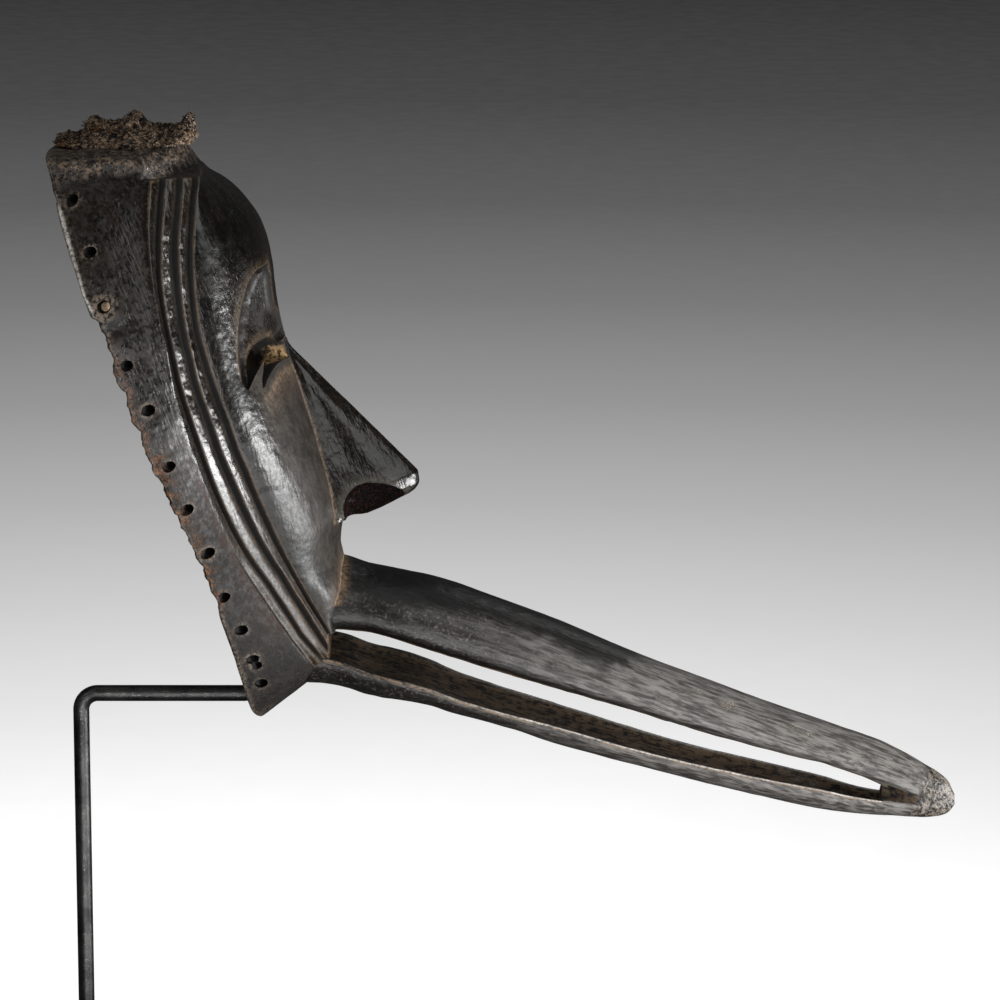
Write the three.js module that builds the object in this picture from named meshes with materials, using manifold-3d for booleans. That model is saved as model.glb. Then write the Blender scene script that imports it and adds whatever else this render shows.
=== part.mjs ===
// Long-beaked spirit mask carved from one block of dark wood, held on a bent
// steel rod that stands in a flat steel plate. Millimetres; +X is the way the
// beak points, +Z is up, Y runs across the face, and the origin lies at the
// middle of the plate's underside.
//
// The face is lofted through stations v that climb from the chin (-126.5) to
// the crown (113.6). Each station is half a section from the rim to the middle
// line: flange, four crested flutes, cheek or forehead. In the mask's own
// frame n stands out from the plane of the rim, u runs up it and y across it;
// station planes lie square to the rim at mid height, fan level towards the
// crown and rise forwards towards the chin.
import * as THREE from 'three';
import { mergeVertices } from 'three/addons/utils/BufferGeometryUtils.js';
import Module from 'manifold-3d';

const wasm = await Module();
wasm.setup();

// ---------------------------------------------------------------- sizes
const LEAN = THREE.MathUtils.degToRad(18.27); // rim plane leans back from upright
const FACE_X = -37.87, FACE_Z = 274.12;       // face frame's own zero, in the part's frame
const CHIN_V = -126.5, RIBS_V = 104, CROWN_V = 113.6;
const FAN = 0.33016;                          // how far station planes tilt
const WALL = 6.6;                             // wood at the rim
const FACE_WALL = 8.6;                        // wood at the middle of the face
const FLUTE_DEPTH = 2.3;
const CROWN_FLAT = 0.075, CROWN_SLOPE = 0.15; // how far the crown's left side falls away
const GAP = 0.3;                              // between touching pieces
const AXIS_X = 95, AXIS_Z = 240;              // where the beak table's zero lies

const ROD_D = 6.35, ROD_BEND = 6.6;           // quarter-inch rod, bent tight
const ROD_X = -164.8 + AXIS_X, ROD_Z = -77.6 + AXIS_Z, PRONG_X = -94 + AXIS_X, PRONG_TOP = 45.5 + AXIS_Z;
const PLATE = { x: 220, y: 130, z: 10, edge: 1.2, corner: 5 };
const HOLE_D = 4.3, HOLES_LEFT_OUT = 0;

// ---------------------------------------------------------------- stations
const STATION = [-126.5, -124, -117, -110, -100, -85, -70, -50, -30, -10, 10, 30, 50, 70, 85, 95, 104, 110, 113.6];
const PROFILE = {
  rimY: [3, 14, 31.3, 37.5, 44, 52, 58.2, 64.6, 69.3, 72.5, 73.5, 73.3, 72.2, 69.6, 66, 62, 56, 49.5, 43],
  rimN: [0, 0, 0.1, 0.7, 1.8, 3, 3.6, 2.9, 1.4, -0.4, -1.2, -1.8, -2.6, -3.1, -2.9, -2.4, -2, -1.3, -0.8],
  n1: [29, 29, 28.6, 27.4, 25.2, 22.9, 20.5, 17.3, 16, 15.8, 16.6, 18.6, 21, 24, 27, 30, 32.7, 34.5, 35.5],
  y1: [3, 13, 28.6, 33.2, 36.8, 41.5, 46.8, 53.7, 59, 63.2, 65.2, 65.4, 63.8, 61, 58, 54.5, 50, 46, 43],
  n2: [33, 33, 32.5, 31.2, 29.2, 27.6, 25.4, 21.2, 19.4, 19.3, 19.8, 21.5, 24.3, 28.6, 32.6, 35.6, 38.4, 40, 41],
  y2: [2.9, 12.5, 27, 31.2, 34.6, 38.9, 43.8, 50.2, 55.3, 59.7, 61.6, 61.9, 60.2, 57.6, 55, 51.5, 47.5, 44, 41],
  n3: [36.5, 36.5, 36.3, 35.8, 34.8, 33, 31.2, 28, 26.4, 25.9, 26.1, 27.6, 30.8, 34.8, 38.7, 41.6, 44.3, 46, 47],
  y3: [2.8, 12, 25.4, 29.2, 32.4, 36.2, 40.6, 46.8, 52, 56.3, 57.9, 58, 56.3, 54, 51.5, 48, 44.5, 41, 38],
  n4: [39.5, 39.5, 39, 38.7, 37.6, 36, 34.6, 33.1, 32, 31.8, 31.6, 32.3, 35.6, 39.9, 43.8, 46.7, 49.9, 51.5, 52.5],
  y4: [2.6, 11.4, 23.8, 27.2, 30, 33.4, 37.4, 43.2, 48.6, 52.8, 54.3, 54.4, 52.8, 50.4, 48, 45, 41.5, 38, 35],
};
// the middle line of the face without its nose, from chin to crown
const MIDDLE = {
  v: [-126.5, -117, -110, -100, -90, -82.4, -74.3, -66.7, -61.8, -56, -42, -28, -16, 0, 11.6, 16.5, 26.2, 34, 42.8, 57, 76.2, 85, 90.2, 95, 98.2, 101.4, 104, 113.6],
  n: [38.5, 39.6, 41.5, 47.5, 50, 50.4, 50.9, 52.8, 55, 57, 57.7, 57.7, 57.4, 57, 56.6, 57, 58, 59.4, 61.4, 62.6, 61.7, 60.2, 58.7, 56.4, 54, 50.2, 48.7, 45.3],
};
// the hollow behind it: depth at the middle, and how the width closes at the ends
const HOLLOW = {
  v: [-121.5, -119, -114, -108, -100, -85, -70, -50, -28, -10, 10, 30, 57, 80, 92, 99, 103.5, 106.8],
  n: [9, 20, 27, 30.5, 34, 40, 43.5, 48, 49, 46.5, 43.8, 46, 53, 50.5, 44, 36.5, 30, 20],
  y: [7.5, 14, 22.5, 28.5, 34.5, 43, 49.8, 56.6, 61.6, 65, 66.4, 66.1, 63.6, 59.6, 54.5, 49.5, 44.5, 37],
};

/** Monotone cubic through a table. */
function along(xs, ys, x) {
  const last = xs.length - 1;
  if (x <= xs[0]) return ys[0];
  if (x >= xs[last]) return ys[last];
  const slope = (i) => (ys[i + 1] - ys[i]) / (xs[i + 1] - xs[i]);
  const tangent = (i) => {
    if (i === 0) return slope(0);
    if (i === last) return slope(last - 1);
    const a = slope(i - 1), b = slope(i);
    if (a * b <= 0) return 0;
    const h0 = xs[i] - xs[i - 1], h1 = xs[i + 1] - xs[i];
    return (3 * (h0 + h1)) / ((2 * h1 + h0) / a + (2 * h0 + h1) / b);
  };
  let k = 0;
  while (x > xs[k + 1]) k++;
  const h = xs[k + 1] - xs[k], t = (x - xs[k]) / h, t2 = t * t, t3 = t2 * t;
  return (2 * t3 - 3 * t2 + 1) * ys[k] + (t3 - 2 * t2 + t) * h * tangent(k)
    + (3 * t2 - 2 * t3) * ys[k + 1] + (t3 - t2) * h * tangent(k + 1);
}
const at = (key, v) => along(STATION, PROFILE[key], v);
const smooth = (a, b, x) => THREE.MathUtils.smoothstep(x, a, b);
const fanOf = (v) => FAN * (smooth(40, 104, v) - 1.06 * (1 - smooth(-117, -60, v)));
/**
 * A point of station v, n out of the rim plane and y across, in the part's frame.
 * The left side of the crown is carved a little lower and flatter than the right.
 */
function place(v, n, y) {
  const u = v - fanOf(v) * n, low = smooth(66, 104, v) * Math.min(Math.max(y, 0) / 30, 1);
  const p = faceToPart(n * (1 - CROWN_FLAT * low), u, y);
  p.z -= CROWN_SLOPE * smooth(66, 104, v) * Math.max(y, 0);
  return p;
}
function faceToPart(n, u, y) {
  return new THREE.Vector3(
    FACE_X + n * Math.cos(LEAN) - u * Math.sin(LEAN), y,
    FACE_Z + n * Math.sin(LEAN) + u * Math.cos(LEAN));
}
/** The same little unevenness every time: a sum of a few sines. */
const wobble = (a, b = 0) => 0.5 * Math.sin(a * 1.7 + b) + 0.3 * Math.sin(a * 4.1 + 1.3 + 2 * b) + 0.2 * Math.sin(a * 9.3 + 0.4 + b);

/** The rim's edge. The right side is eaten back between the notch and the lower cheek. */
function rimEdge(v, right) {
  let n = at('rimN', v);
  if (right) {
    const eaten = (1 - smooth(51, 54, v)) * smooth(-76, -60, v);
    n += eaten * (1.4 * smooth(25, 50, v) + 0.6 + 0.9 * wobble(v * 0.21));
  }
  return n;
}

/** Half a section from the rim to the middle line, as [y, n] pairs. */
const FRONT_STEPS = 6;
function halfSection(v, right) {
  const pts = [];
  const rim = [at('rimY', v), rimEdge(v, right)];
  const line = [1, 2, 3, 4].map((i) => [at('y' + i, v), at('n' + i, v)]);
  const step = 0.9 * smooth(10, 40, v) - 1.4 * (1 - smooth(-75, -45, v));
  pts.push(rim);
  pts.push([THREE.MathUtils.lerp(rim[0], line[0][0], 0.5) + 0.8, THREE.MathUtils.lerp(rim[1], line[0][1], 0.5)]);
  if (v <= RIBS_V) {
    const dy = line[3][0] - line[0][0], dn = line[3][1] - line[0][1], len = Math.hypot(dy, dn) || 1;
    const out = [dn / len, -dy / len];
    const deep = FLUTE_DEPTH * smooth(-126, -112, v);
    const push = (p, d) => pts.push([p[0] + out[0] * d, p[1] + out[1] * d]);
    const between = (a, b, t) => [a[0] + (b[0] - a[0]) * t, a[1] + (b[1] - a[1]) * t];
    push(between(rim, line[0], 0.95), 0);
    push(line[0], step);
    for (let i = 0; i < 3; i++) {
      push(between(line[i], line[i + 1], 0.42), -0.25 * deep + (i === 0 ? 0.6 * step : 0));
      push(between(line[i], line[i + 1], 0.78), -deep);
      push(line[i + 1], 0);
    }
    // boxier towards the mouth, rounder over the forehead
    const mid = along(MIDDLE.v, MIDDLE.n, v), [y4, n4] = line[3];
    const lift = Math.max(mid - n4, 0), full = 1 - smooth(-98, -72, v), round = smooth(68, 97, v);
    const bend = new THREE.CubicBezierCurve(
      new THREE.Vector2(y4, n4),
      new THREE.Vector2(y4 - 2 - 0.02 * lift ** 1.2 + 1.2 * full, n4 + (0.5 + 0.28 * full - 0.1 * round) * (mid - n4)),
      new THREE.Vector2((0.52 + 0.12 * full - 0.27 * round) * y4, mid + 0.4 * full), new THREE.Vector2(0, mid));
    for (let i = 1; i <= FRONT_STEPS; i++) pts.push(bend.getPoint(i / FRONT_STEPS).toArray());
  } else {
    // the plain top of the head, where the ribs and the forehead stop square
    const narrow = along([104, 108, 110.5, 112.3, 113.3, 113.6], [56, 50.5, 45, 36, 24, 12], v) / 56;
    const mid = along(MIDDLE.v, MIDDLE.n, v), side = at('y1', RIBS_V) - 1.3;
    const bend = new THREE.CubicBezierCurve(
      new THREE.Vector2(side, 31.8), new THREE.Vector2(side - 5, 43),
      new THREE.Vector2(20, mid - 0.4), new THREE.Vector2(0, mid - 0.4));
    const count = 11 + FRONT_STEPS;
    for (let i = 0; i < count; i++) pts.push(bend.getPoint(i / (count - 1)).toArray());
    pts[0][0] = at('rimY', RIBS_V) - 0.3;
    pts[1][0] = at('y1', RIBS_V) + 3;
    for (const p of pts) p[0] *= narrow;
  }
  return pts;
}

/** The hollow's half section, carried well behind the rim. */
function halfHollow(v) {
  const y = along(HOLLOW.v, HOLLOW.y, v), n = along(HOLLOW.v, HOLLOW.n, v);
  const side = Math.min(at('n1', v), n * 0.62);
  const bend = new THREE.CubicBezierCurve(
    new THREE.Vector2(y - 1, 1), new THREE.Vector2(y - 0.45 * side, 0.75 * side + 3),
    new THREE.Vector2(0.56 * y, n), new THREE.Vector2(0, n));
  const pts = [[y, -14]];
  for (let i = 0; i <= 7; i++) pts.push(bend.getPoint(i / 7).toArray());
  return pts;
}

// ---------------------------------------------------------------- mesh tools
/** A closed skin over equal rings of points, its two ends filled in. */
function loft(rings) {
  const count = rings[0].length, position = [], index = [];
  rings.forEach((ring) => ring.forEach((p) => position.push(p.x, p.y, p.z)));
  for (let r = 0; r + 1 < rings.length; r++) {
    for (let i = 0; i < count; i++) {
      const j = (i + 1) % count, a = r * count + i, b = r * count + j, c = a + count, d = b + count;
      const ac = rings[r][i].distanceTo(rings[r + 1][j]), bd = rings[r][j].distanceTo(rings[r + 1][i]);
      if (ac < bd) index.push(a, b, d, a, d, c); else index.push(a, b, c, b, d, c);
    }
  }
  const cap = (ring, start, flip) => {
    const centre = ring.reduce((s, p) => s.add(p), new THREE.Vector3()).divideScalar(count);
    const normal = new THREE.Vector3();
    ring.forEach((p, i) => normal.add(p.clone().sub(centre).cross(ring[(i + 1) % count].clone().sub(centre))));
    normal.normalize();
    const side = Math.abs(normal.y) < 0.9 ? new THREE.Vector3(0, 1, 0) : new THREE.Vector3(1, 0, 0);
    const e1 = side.cross(normal).normalize(), e2 = normal.clone().cross(e1);
    const flat = ring.map((p) => { const q = p.clone().sub(centre); return new THREE.Vector2(q.dot(e1), q.dot(e2)); });
    for (const [a, b, c] of THREE.ShapeUtils.triangulateShape(flat, [])) {
      if (flip) index.push(start + a, start + c, start + b); else index.push(start + a, start + b, start + c);
    }
  };
  cap(rings[0], 0, true);
  cap(rings[rings.length - 1], (rings.length - 1) * count, false);
  const geometry = new THREE.BufferGeometry();
  geometry.setAttribute('position', new THREE.Float32BufferAttribute(position, 3));
  geometry.setIndex(index);
  return geometry;
}
function solid(geometry) {
  const bare = geometry.clone();
  for (const name of Object.keys(bare.attributes)) if (name !== 'position') bare.deleteAttribute(name);
  const g = mergeVertices(bare, 1e-4);
  let tri = Uint32Array.from(g.index.array);
  const p = g.attributes.position;
  let volume = 0;
  const a = new THREE.Vector3(), b = new THREE.Vector3(), c = new THREE.Vector3();
  const kept = [];
  for (let i = 0; i < tri.length; i += 3) {
    if (tri[i] === tri[i + 1] || tri[i + 1] === tri[i + 2] || tri[i] === tri[i + 2]) continue;
    kept.push(tri[i], tri[i + 1], tri[i + 2]);
    a.fromBufferAttribute(p, tri[i]); b.fromBufferAttribute(p, tri[i + 1]); c.fromBufferAttribute(p, tri[i + 2]);
    volume += a.dot(b.cross(c));
  }
  if (volume < 0) for (let i = 0; i < kept.length; i += 3) [kept[i], kept[i + 1]] = [kept[i + 1], kept[i]];
  tri = Uint32Array.from(kept);
  return new wasm.Manifold(new wasm.Mesh({ numProp: 3, vertProperties: Float32Array.from(p.array), triVerts: tri }));
}
function geometryOf(body) {
  const mesh = body.getMesh(), geometry = new THREE.BufferGeometry();
  const xyz = new Float32Array(mesh.numVert * 3);
  for (let i = 0; i < mesh.numVert; i++) for (let k = 0; k < 3; k++) xyz[i * 3 + k] = mesh.vertProperties[i * mesh.numProp + k];
  geometry.setAttribute('position', new THREE.BufferAttribute(xyz, 3));
  geometry.setIndex(new THREE.BufferAttribute(Uint32Array.from(mesh.triVerts), 1));
  return geometry;
}
const mirrored = (half) => [...half.map(([y, n]) => [-y, n]), ...half.slice(0, -1).reverse()];
/** Both halves of a station as one ring; the right half is at -y. */
const ringOf = (v, left, right) => [
  ...right.map(([y, n]) => place(v, n, -y)),
  ...left.slice(0, -1).reverse().map(([y, n]) => place(v, n, y)),
];
/** An outline drawn with [across, up] points and pulled from n0 to n1 out of the face. */
function facePrism(outline, n0, n1) {
  const shape = new THREE.Shape(outline.map(([y, u]) => new THREE.Vector2(y, u)));
  const g = new THREE.ExtrudeGeometry(shape, { depth: n1 - n0, bevelEnabled: false, curveSegments: 4 });
  const zero = faceToPart(0, 0, 0), n = faceToPart(1, 0, 0).sub(zero), u = faceToPart(0, 1, 0).sub(zero);
  g.applyMatrix4(new THREE.Matrix4().makeBasis(new THREE.Vector3(0, 1, 0), u, n));
  const shift = faceToPart(n0, 0, 0);
  return g.translate(shift.x, shift.y, shift.z);
}
/** An outline drawn in profile with [n, u] points and pulled across from y0 to y1. */
function profilePrism(outline, y0, y1) {
  const shape = new THREE.Shape(outline.map(([n, u]) => { const p = faceToPart(n, u, 0); return new THREE.Vector2(p.x, p.z); }));
  const g = new THREE.ExtrudeGeometry(shape, { depth: y1 - y0, bevelEnabled: false });
  g.rotateX(Math.PI / 2); // shape's up becomes +Z, the pull becomes -Y
  return g.translate(0, y1, 0);
}

// ---------------------------------------------------------------- the face
const faceStations = [];
for (let v = CHIN_V; v < RIBS_V - 1; v += (v < -110 || v > 86 ? 3.6 : 7.7)) faceStations.push(v);
faceStations.push(RIBS_V, RIBS_V + 0.5, 108, 110.5, 112.3, 113.3, CROWN_V);
const faceSkin = solid(loft(faceStations.map((v) => ringOf(v, halfSection(v, false), halfSection(v, true)))));

const hollowStations = [-121.5, -119, -114, -108];
for (let v = -100; v < 99; v += 11) hollowStations.push(v);
hollowStations.push(99, 103.5, 106.8);
const hollow = solid(loft(hollowStations.map((v) => ringOf(v, halfHollow(v), halfHollow(v)))));

// ---------------------------------------------------------------- the nose
// Level slices from the bridge down to the nostrils, each a narrow-backed wedge.
const NOSE = { top: 12.2, bottom: -62, bridge: 56.6, pitch: 0.5055, root: 44 };
const noseRings = [];
for (const u of [NOSE.top, 4, -8, -20, -32, -44, -51.8, -56.4, -59.2, NOSE.bottom]) {
  const ridge = Math.min(NOSE.bridge + NOSE.pitch * (11.6 - u), 89.1) - 0.9 * Math.max(0, -53 - u);
  const t = (NOSE.top - u) / (NOSE.top - NOSE.bottom);
  const foot = THREE.MathUtils.lerp(6.2, 18.5, t), back = THREE.MathUtils.lerp(1.6, 3.4, t);
  const flare = 0.9 * (1 - smooth(-56, -30, u));
  const base = 56.6 - 2.6 * (1 - smooth(-62, -53, u));
  const half = [[foot, NOSE.root], [foot, base], [foot * 0.72 + flare, THREE.MathUtils.lerp(base, ridge, 0.33)],
    [foot * 0.42 + back * 0.5, THREE.MathUtils.lerp(base, ridge, 0.68)], [back, ridge - 1.3], [0, ridge]];
  noseRings.push([...half.map(([y, n]) => faceToPart(n, u, -y)), ...half.slice(0, -1).reverse().map(([y, n]) => faceToPart(n, u, y))]);
}
let nose = solid(loft(noseRings));
// one arched nostril hollow each side of a thin wall, open below and to the side
const nostril = [[58.2, -57.6], [61.8, -53.8], [66.5, -50.9], [72, -50.2], [79, -51.6], [85, -53.7], [87.4, -56.2], [87.6, -66], [58.2, -66]];
for (const side of [-1, 1]) {
  nose = nose.subtract(solid(profilePrism(nostril, side < 0 ? -30 : 3, side < 0 ? -3 : 30)));
}

// ---------------------------------------------------------------- the beak
// Upright sections along X; heights are read from the table's own zero.
const BEAK = {
  x: [-78, -61.5, -51, -39, -27.5, -19.5, 0, 23.5, 55, 78.5, 102, 126, 142, 150, 156, 162, 168, 173, 177, 179.6],
  top: [-21.2, -22.6, -26, -28.6, -30.7, -32.8, -39.9, -48.8, -62.3, -71.2, -80.1, -88.4, -94, -96.8, -99.7, -103, -106.8, -109.6, -113.2, -118.6],
  lip: [-46.6, -46.8, -47.8, -51.2, -55.2, -58.1, -64.5, -72.2, -81.8, -89.7, -96.7, -103.3, -109.3, -113, -115.2, -117.2, -119, -120.4, -121.2, -121.6],
  rim: [-56.1, -59.3, -64.2, -68.4, -71.7, -74.4, -80.5, -87.4, -97, -103.1, -108.5, -113.8, -118, -119.2, -119.9, -120.8, -121.4, -121.8, -122, -122.1],
  keel: [-70.9, -73.3, -77.5, -79.8, -82.5, -85.4, -89.7, -97.5, -105.8, -112.3, -118.2, -123.8, -126.1, -126.6, -127, -127.5, -127.8, -127.5, -126.2, -122.8],
  half: [29, 27.8, 26.4, 25.6, 24.2, 23.2, 21.7, 19.6, 17.6, 15.6, 14.4, 12.4, 9.8, 8.6, 8, 7.1, 5.8, 4.4, 2.7, 0.9],
};
const beakAt = (key, x) => along(BEAK.x, BEAK[key], x);
const beakPoint = (x, y, z) => new THREE.Vector3(x + AXIS_X, y, z + AXIS_Z);
const TIP_X = 150.5;
// [across, up] shares of half a section, from the lip's underside over the back
const UPPER = [[0.84, 0], [0.97, 0.12], [1, 0.28], [0.94, 0.5], [0.79, 0.71], [0.54, 0.89], [0.26, 0.975], [0, 1]];
// and from the jaw's rim down to its keel
const LOWER = [[1, 0.16], [0.96, 0.42], [0.84, 0.66], [0.6, 0.87], [0.3, 0.975], [0, 1]];
function bothSides(x, half, joined) {
  return [...half.map(([y, z]) => beakPoint(x, -y, z)), ...half.slice(joined ? 1 : 0, -1).reverse().map(([y, z]) => beakPoint(x, y, z))];
}
function upperRing(x) {
  const top = beakAt('top', x), lip = beakAt('lip', x), w = beakAt('half', x);
  return bothSides(x, UPPER.map(([a, b]) => [a * w, lip + b * (top - lip)]), false);
}
function lowerRing(x) {
  const rim = beakAt('rim', x), keel = beakAt('keel', x), w = beakAt('half', x), d = rim - keel;
  const lip = Math.min(3, 0.3 * w);
  const dish = Math.min(4.8, 0.4 * d) * (1 - smooth(136, 150, x));
  return bothSides(x, [[0, rim - dish], [0.42 * w, rim - 0.8 * dish], [w - lip - 1, rim - 0.25 * dish], [w - lip, rim], [w - 0.4, rim - 0.2],
    ...LOWER.map(([a, b]) => [a * w, rim - b * d])], true);
}
function tipRing(x) {
  const top = beakAt('top', x), lip = beakAt('lip', x), rim = beakAt('rim', x), keel = beakAt('keel', x), w = beakAt('half', x);
  return bothSides(x, [...UPPER.slice(2).reverse().map(([a, b]) => [a * w, lip + b * (top - lip)]), ...LOWER.map(([a, b]) => [a * w, rim - b * (rim - keel)])], true);
}
const openX = BEAK.x.filter((x) => x < TIP_X - 1);
const upperBeak = solid(loft([...openX, TIP_X + 2].map(upperRing)));
const lowerBeak = solid(loft([...openX, TIP_X + 2].map(lowerRing)));
const tip = solid(loft([TIP_X, ...BEAK.x.filter((x) => x > TIP_X)].map(tipRing)));

// ---------------------------------------------------------------- carving
let carved = faceSkin.add(upperBeak).add(lowerBeak).add(tip);

// Brow: an arc cut back to a flatter lid plane, deepest at its outer end.
const BROW = [[62.5, 37], [61.6, 42.5], [60.4, 44.6], [57.1, 45.4], [54.4, 43.6], [52.1, 40.9], [50, 37.9], [47.7, 34.2], [45.6, 30.1],
  [43.6, 25], [42, 19.5], [40.8, 14], [40.2, 9]];
const LID = [[42.6, 6.5], [44.2, 10], [46.6, 14.6], [49, 17.6], [52, 19.4], [56, 18.6], [64, 16.2], [66, 26]];
const lidSheets = (side) => {
  // the lid plane leans from the middle ridge back to the brow's outer end
  const rows = [];
  for (const u of [4, 10, 16, 24, 32, 40, 50]) {
    const ridge = along([4, 16, 26, 34, 44, 50], [56.6, 57.2, 58.1, 59.6, 62.2, 64], u);
    const drop = 3.4 * smooth(2, 22, u) * (1 - smooth(36, 50, u));
    rows.push([faceToPart(ridge, u, 0), faceToPart(ridge - 8.2 - 0.35 * drop, u, side * 21), faceToPart(39.4 - drop, u, side * 44.5),
      faceToPart(27.5 - drop, u, side * 58), faceToPart(12, u, side * 58), faceToPart(12, u, 0)]);
  }
  return solid(loft(rows));
};
for (const side of [-1, 1]) {
  const over = solid(profilePrism([...BROW, ...LID], side < 0 ? -60 : 0.01, side < 0 ? -0.01 : 60));
  carved = carved.subtract(over.subtract(lidSheets(side)));
}

// Eyes: a wide drooping slit right through the wall each side of the bridge.
const EYE = [[7.2, 12.8], [11, 16], [16, 17.6], [23, 17.9], [30, 16.9], [35.2, 14.9], [39.2, 12.4], [42.2, 9.4], [45, 6.4], [46.4, 3.6],
  [44.4, 3.7], [40.6, 5.8], [35, 7.4], [28.2, 8.2], [19, 8], [11, 6.9], [7.2, 6.8]];
for (const side of [-1, 1]) carved = carved.subtract(solid(facePrism(side > 0 ? EYE : EYE.map(([y, u]) => [-y, u]).reverse(), 24, 76)));

carved = carved.add(nose).subtract(hollow);

// Lashing holes through the flange, evenly paced round the rim on both sides.
const HOLES = [[96.5, 3.8], [76.6, 4.6], [55.9, 3.4], [32.6, 4.2], [13.8, 6.2], [-9.1, 6.4], [-27.3, 7.2], [-46.4, 8.6], [-65.4, 8.2],
  [-81.2, 9.4], [-94.9, 9], [-106.2, 8.2], [-120.4, 4.6]];
function vAt(n, u) {
  let v = u;
  for (let i = 0; i < 12; i++) v = u + fanOf(v) * n;
  return v;
}
function holeAxis(u, n, side) {
  const v = vAt(n, u), rim = [at('rimY', v), at('rimN', v)], l1 = [at('y1', v), at('n1', v)];
  const t = (n - rim[1]) / (l1[1] - rim[1]);
  const y = THREE.MathUtils.lerp(rim[0], l1[0], t) + 0.6;
  const low = 1 - smooth(-124, -112, v);
  const out = new THREE.Vector3(l1[1] - rim[1], 0, rim[0] - l1[0]).normalize();
  const zero = faceToPart(0, 0, 0);
  const dir = faceToPart(out.z, -1.6 * low, side * out.x).sub(zero).normalize();
  return { at: faceToPart(n, u, side * y), dir };
}
const aim = (g, dir, centre) => {
  g.applyQuaternion(new THREE.Quaternion().setFromUnitVectors(new THREE.Vector3(0, 1, 0), dir));
  return g.translate(centre.x, centre.y, centre.z);
};
for (const side of [-1, 1]) {
  HOLES.forEach(([u, n], i) => {
    if (i < HOLES_LEFT_OUT) return;
    const h = holeAxis(u + (side > 0 ? 1.4 * wobble(i * 1.9) : 0), n, side);
    const d = i === HOLES.length - 1 ? HOLE_D * 0.6 : HOLE_D;
    carved = carved.subtract(solid(aim(new THREE.CylinderGeometry(d / 2, d / 2, 26, 6), h.dir, h.at)));
  });
}

// ---------------------------------------------------------------- other pieces
// Clotted plant fibre and pitch left on top of the head, where a crest was tied.
const crustRows = [];
const CRUST = { x0: -74.5, x1: -22, rows: 9, cols: 8 };
/** The crown's own height under the crust: a gentle arch across, falling to the left. */
const crownTop = (y) => {
  const v = along([12, 24, 36, 45, 50.5], [113.6, 113.3, 112.3, 110.5, 108], Math.abs(y) * 1.12);
  return FACE_Z + v * Math.cos(LEAN) + 0.1 - CROWN_SLOPE * Math.max(y, 0);
};
for (let i = 0; i <= CRUST.rows; i++) {
  const t = i / CRUST.rows, x = THREE.MathUtils.lerp(CRUST.x0, CRUST.x1, t);
  const w = 34 * along([0, 0.08, 0.3, 0.6, 0.85, 1], [0.55, 0.8, 1, 1, 0.85, 0.55], t);
  const ring = [];
  for (let j = 0; j <= CRUST.cols; j++) {
    const s = (j / CRUST.cols) * 2 - 1;
    const swell = Math.sqrt(Math.max(1 - s * s * 0.92, 0));
    const rise = 1.4 + 6.2 * smooth(0.16, 0.3, t) + 1.5 * wobble(i * 1.3, j * 1.1) + 2.6 * smooth(0.86, 1, t) * Math.exp(-((s + 0.1) ** 2) * 9);
    ring.push(new THREE.Vector3(x + 1.1 * wobble(j * 2.1, i), w * s, crownTop(w * s) + GAP + Math.max(rise * swell, 0.8)));
  }
  for (const s of [1, 0.5, 0, -0.5, -1]) ring.push(new THREE.Vector3(x, w * s, crownTop(w * s) + GAP));
  crustRows.push(ring);
}
const crust = solid(loft(crustRows));

// A wooden plug in the third hole of the right side.
const plugSeat = holeAxis(HOLES[2][0], HOLES[2][1], -1);
const plug = aim(new THREE.CylinderGeometry(HOLE_D / 2 - GAP - 0.12, HOLE_D / 2 - GAP - 0.12, 6, 8), plugSeat.dir,
  plugSeat.at.clone().addScaledVector(plugSeat.dir, -3.1));

// The rod: up out of the plate, forward under the chin, then up behind the face.
const rodPath = new THREE.CurvePath();
const P = (x, z) => new THREE.Vector3(x, 0, z);
const rodFoot = PLATE.z - 6;
rodPath.add(new THREE.LineCurve3(P(ROD_X, rodFoot), P(ROD_X, ROD_Z - ROD_BEND)));
const quarter = (cx, cz, a0, a1) => {
  let last = null;
  for (let i = 0; i <= 6; i++) {
    const a = THREE.MathUtils.lerp(a0, a1, i / 6), p = P(cx + ROD_BEND * Math.cos(a), cz + ROD_BEND * Math.sin(a));
    if (last) rodPath.add(new THREE.LineCurve3(last, p));
    last = p;
  }
};
quarter(ROD_X + ROD_BEND, ROD_Z - ROD_BEND, Math.PI, Math.PI / 2);
rodPath.add(new THREE.LineCurve3(P(ROD_X + ROD_BEND, ROD_Z), P(PRONG_X - ROD_BEND, ROD_Z)));
quarter(PRONG_X - ROD_BEND, ROD_Z + ROD_BEND, -Math.PI / 2, 0);
rodPath.add(new THREE.LineCurve3(P(PRONG_X, ROD_Z + ROD_BEND), P(PRONG_X, PRONG_TOP)));
/** A round bar along a flat path of corners in the XZ plane, closed at both ends. */
function bar(path, diameter, sides) {
  const corners = path.curves.map((c) => c.v1).concat([path.curves[path.curves.length - 1].v2]);
  const rings = corners.map((p, i) => {
    const before = i > 0 ? p.clone().sub(corners[i - 1]).normalize() : null;
    const after = i + 1 < corners.length ? corners[i + 1].clone().sub(p).normalize() : null;
    const t = before && after ? before.add(after).normalize() : before || after;
    const across = new THREE.Vector3(0, 1, 0), up = new THREE.Vector3().crossVectors(t, across).normalize();
    return Array.from({ length: sides }, (_, k) => {
      const a = ((k + 0.5) / sides) * 2 * Math.PI;
      return p.clone().addScaledVector(across, (diameter / 2) * Math.cos(a)).addScaledVector(up, (diameter / 2) * Math.sin(a));
    });
  });
  return loft(rings);
}
const rod = solid(bar(rodPath, ROD_D, 12));

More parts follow.
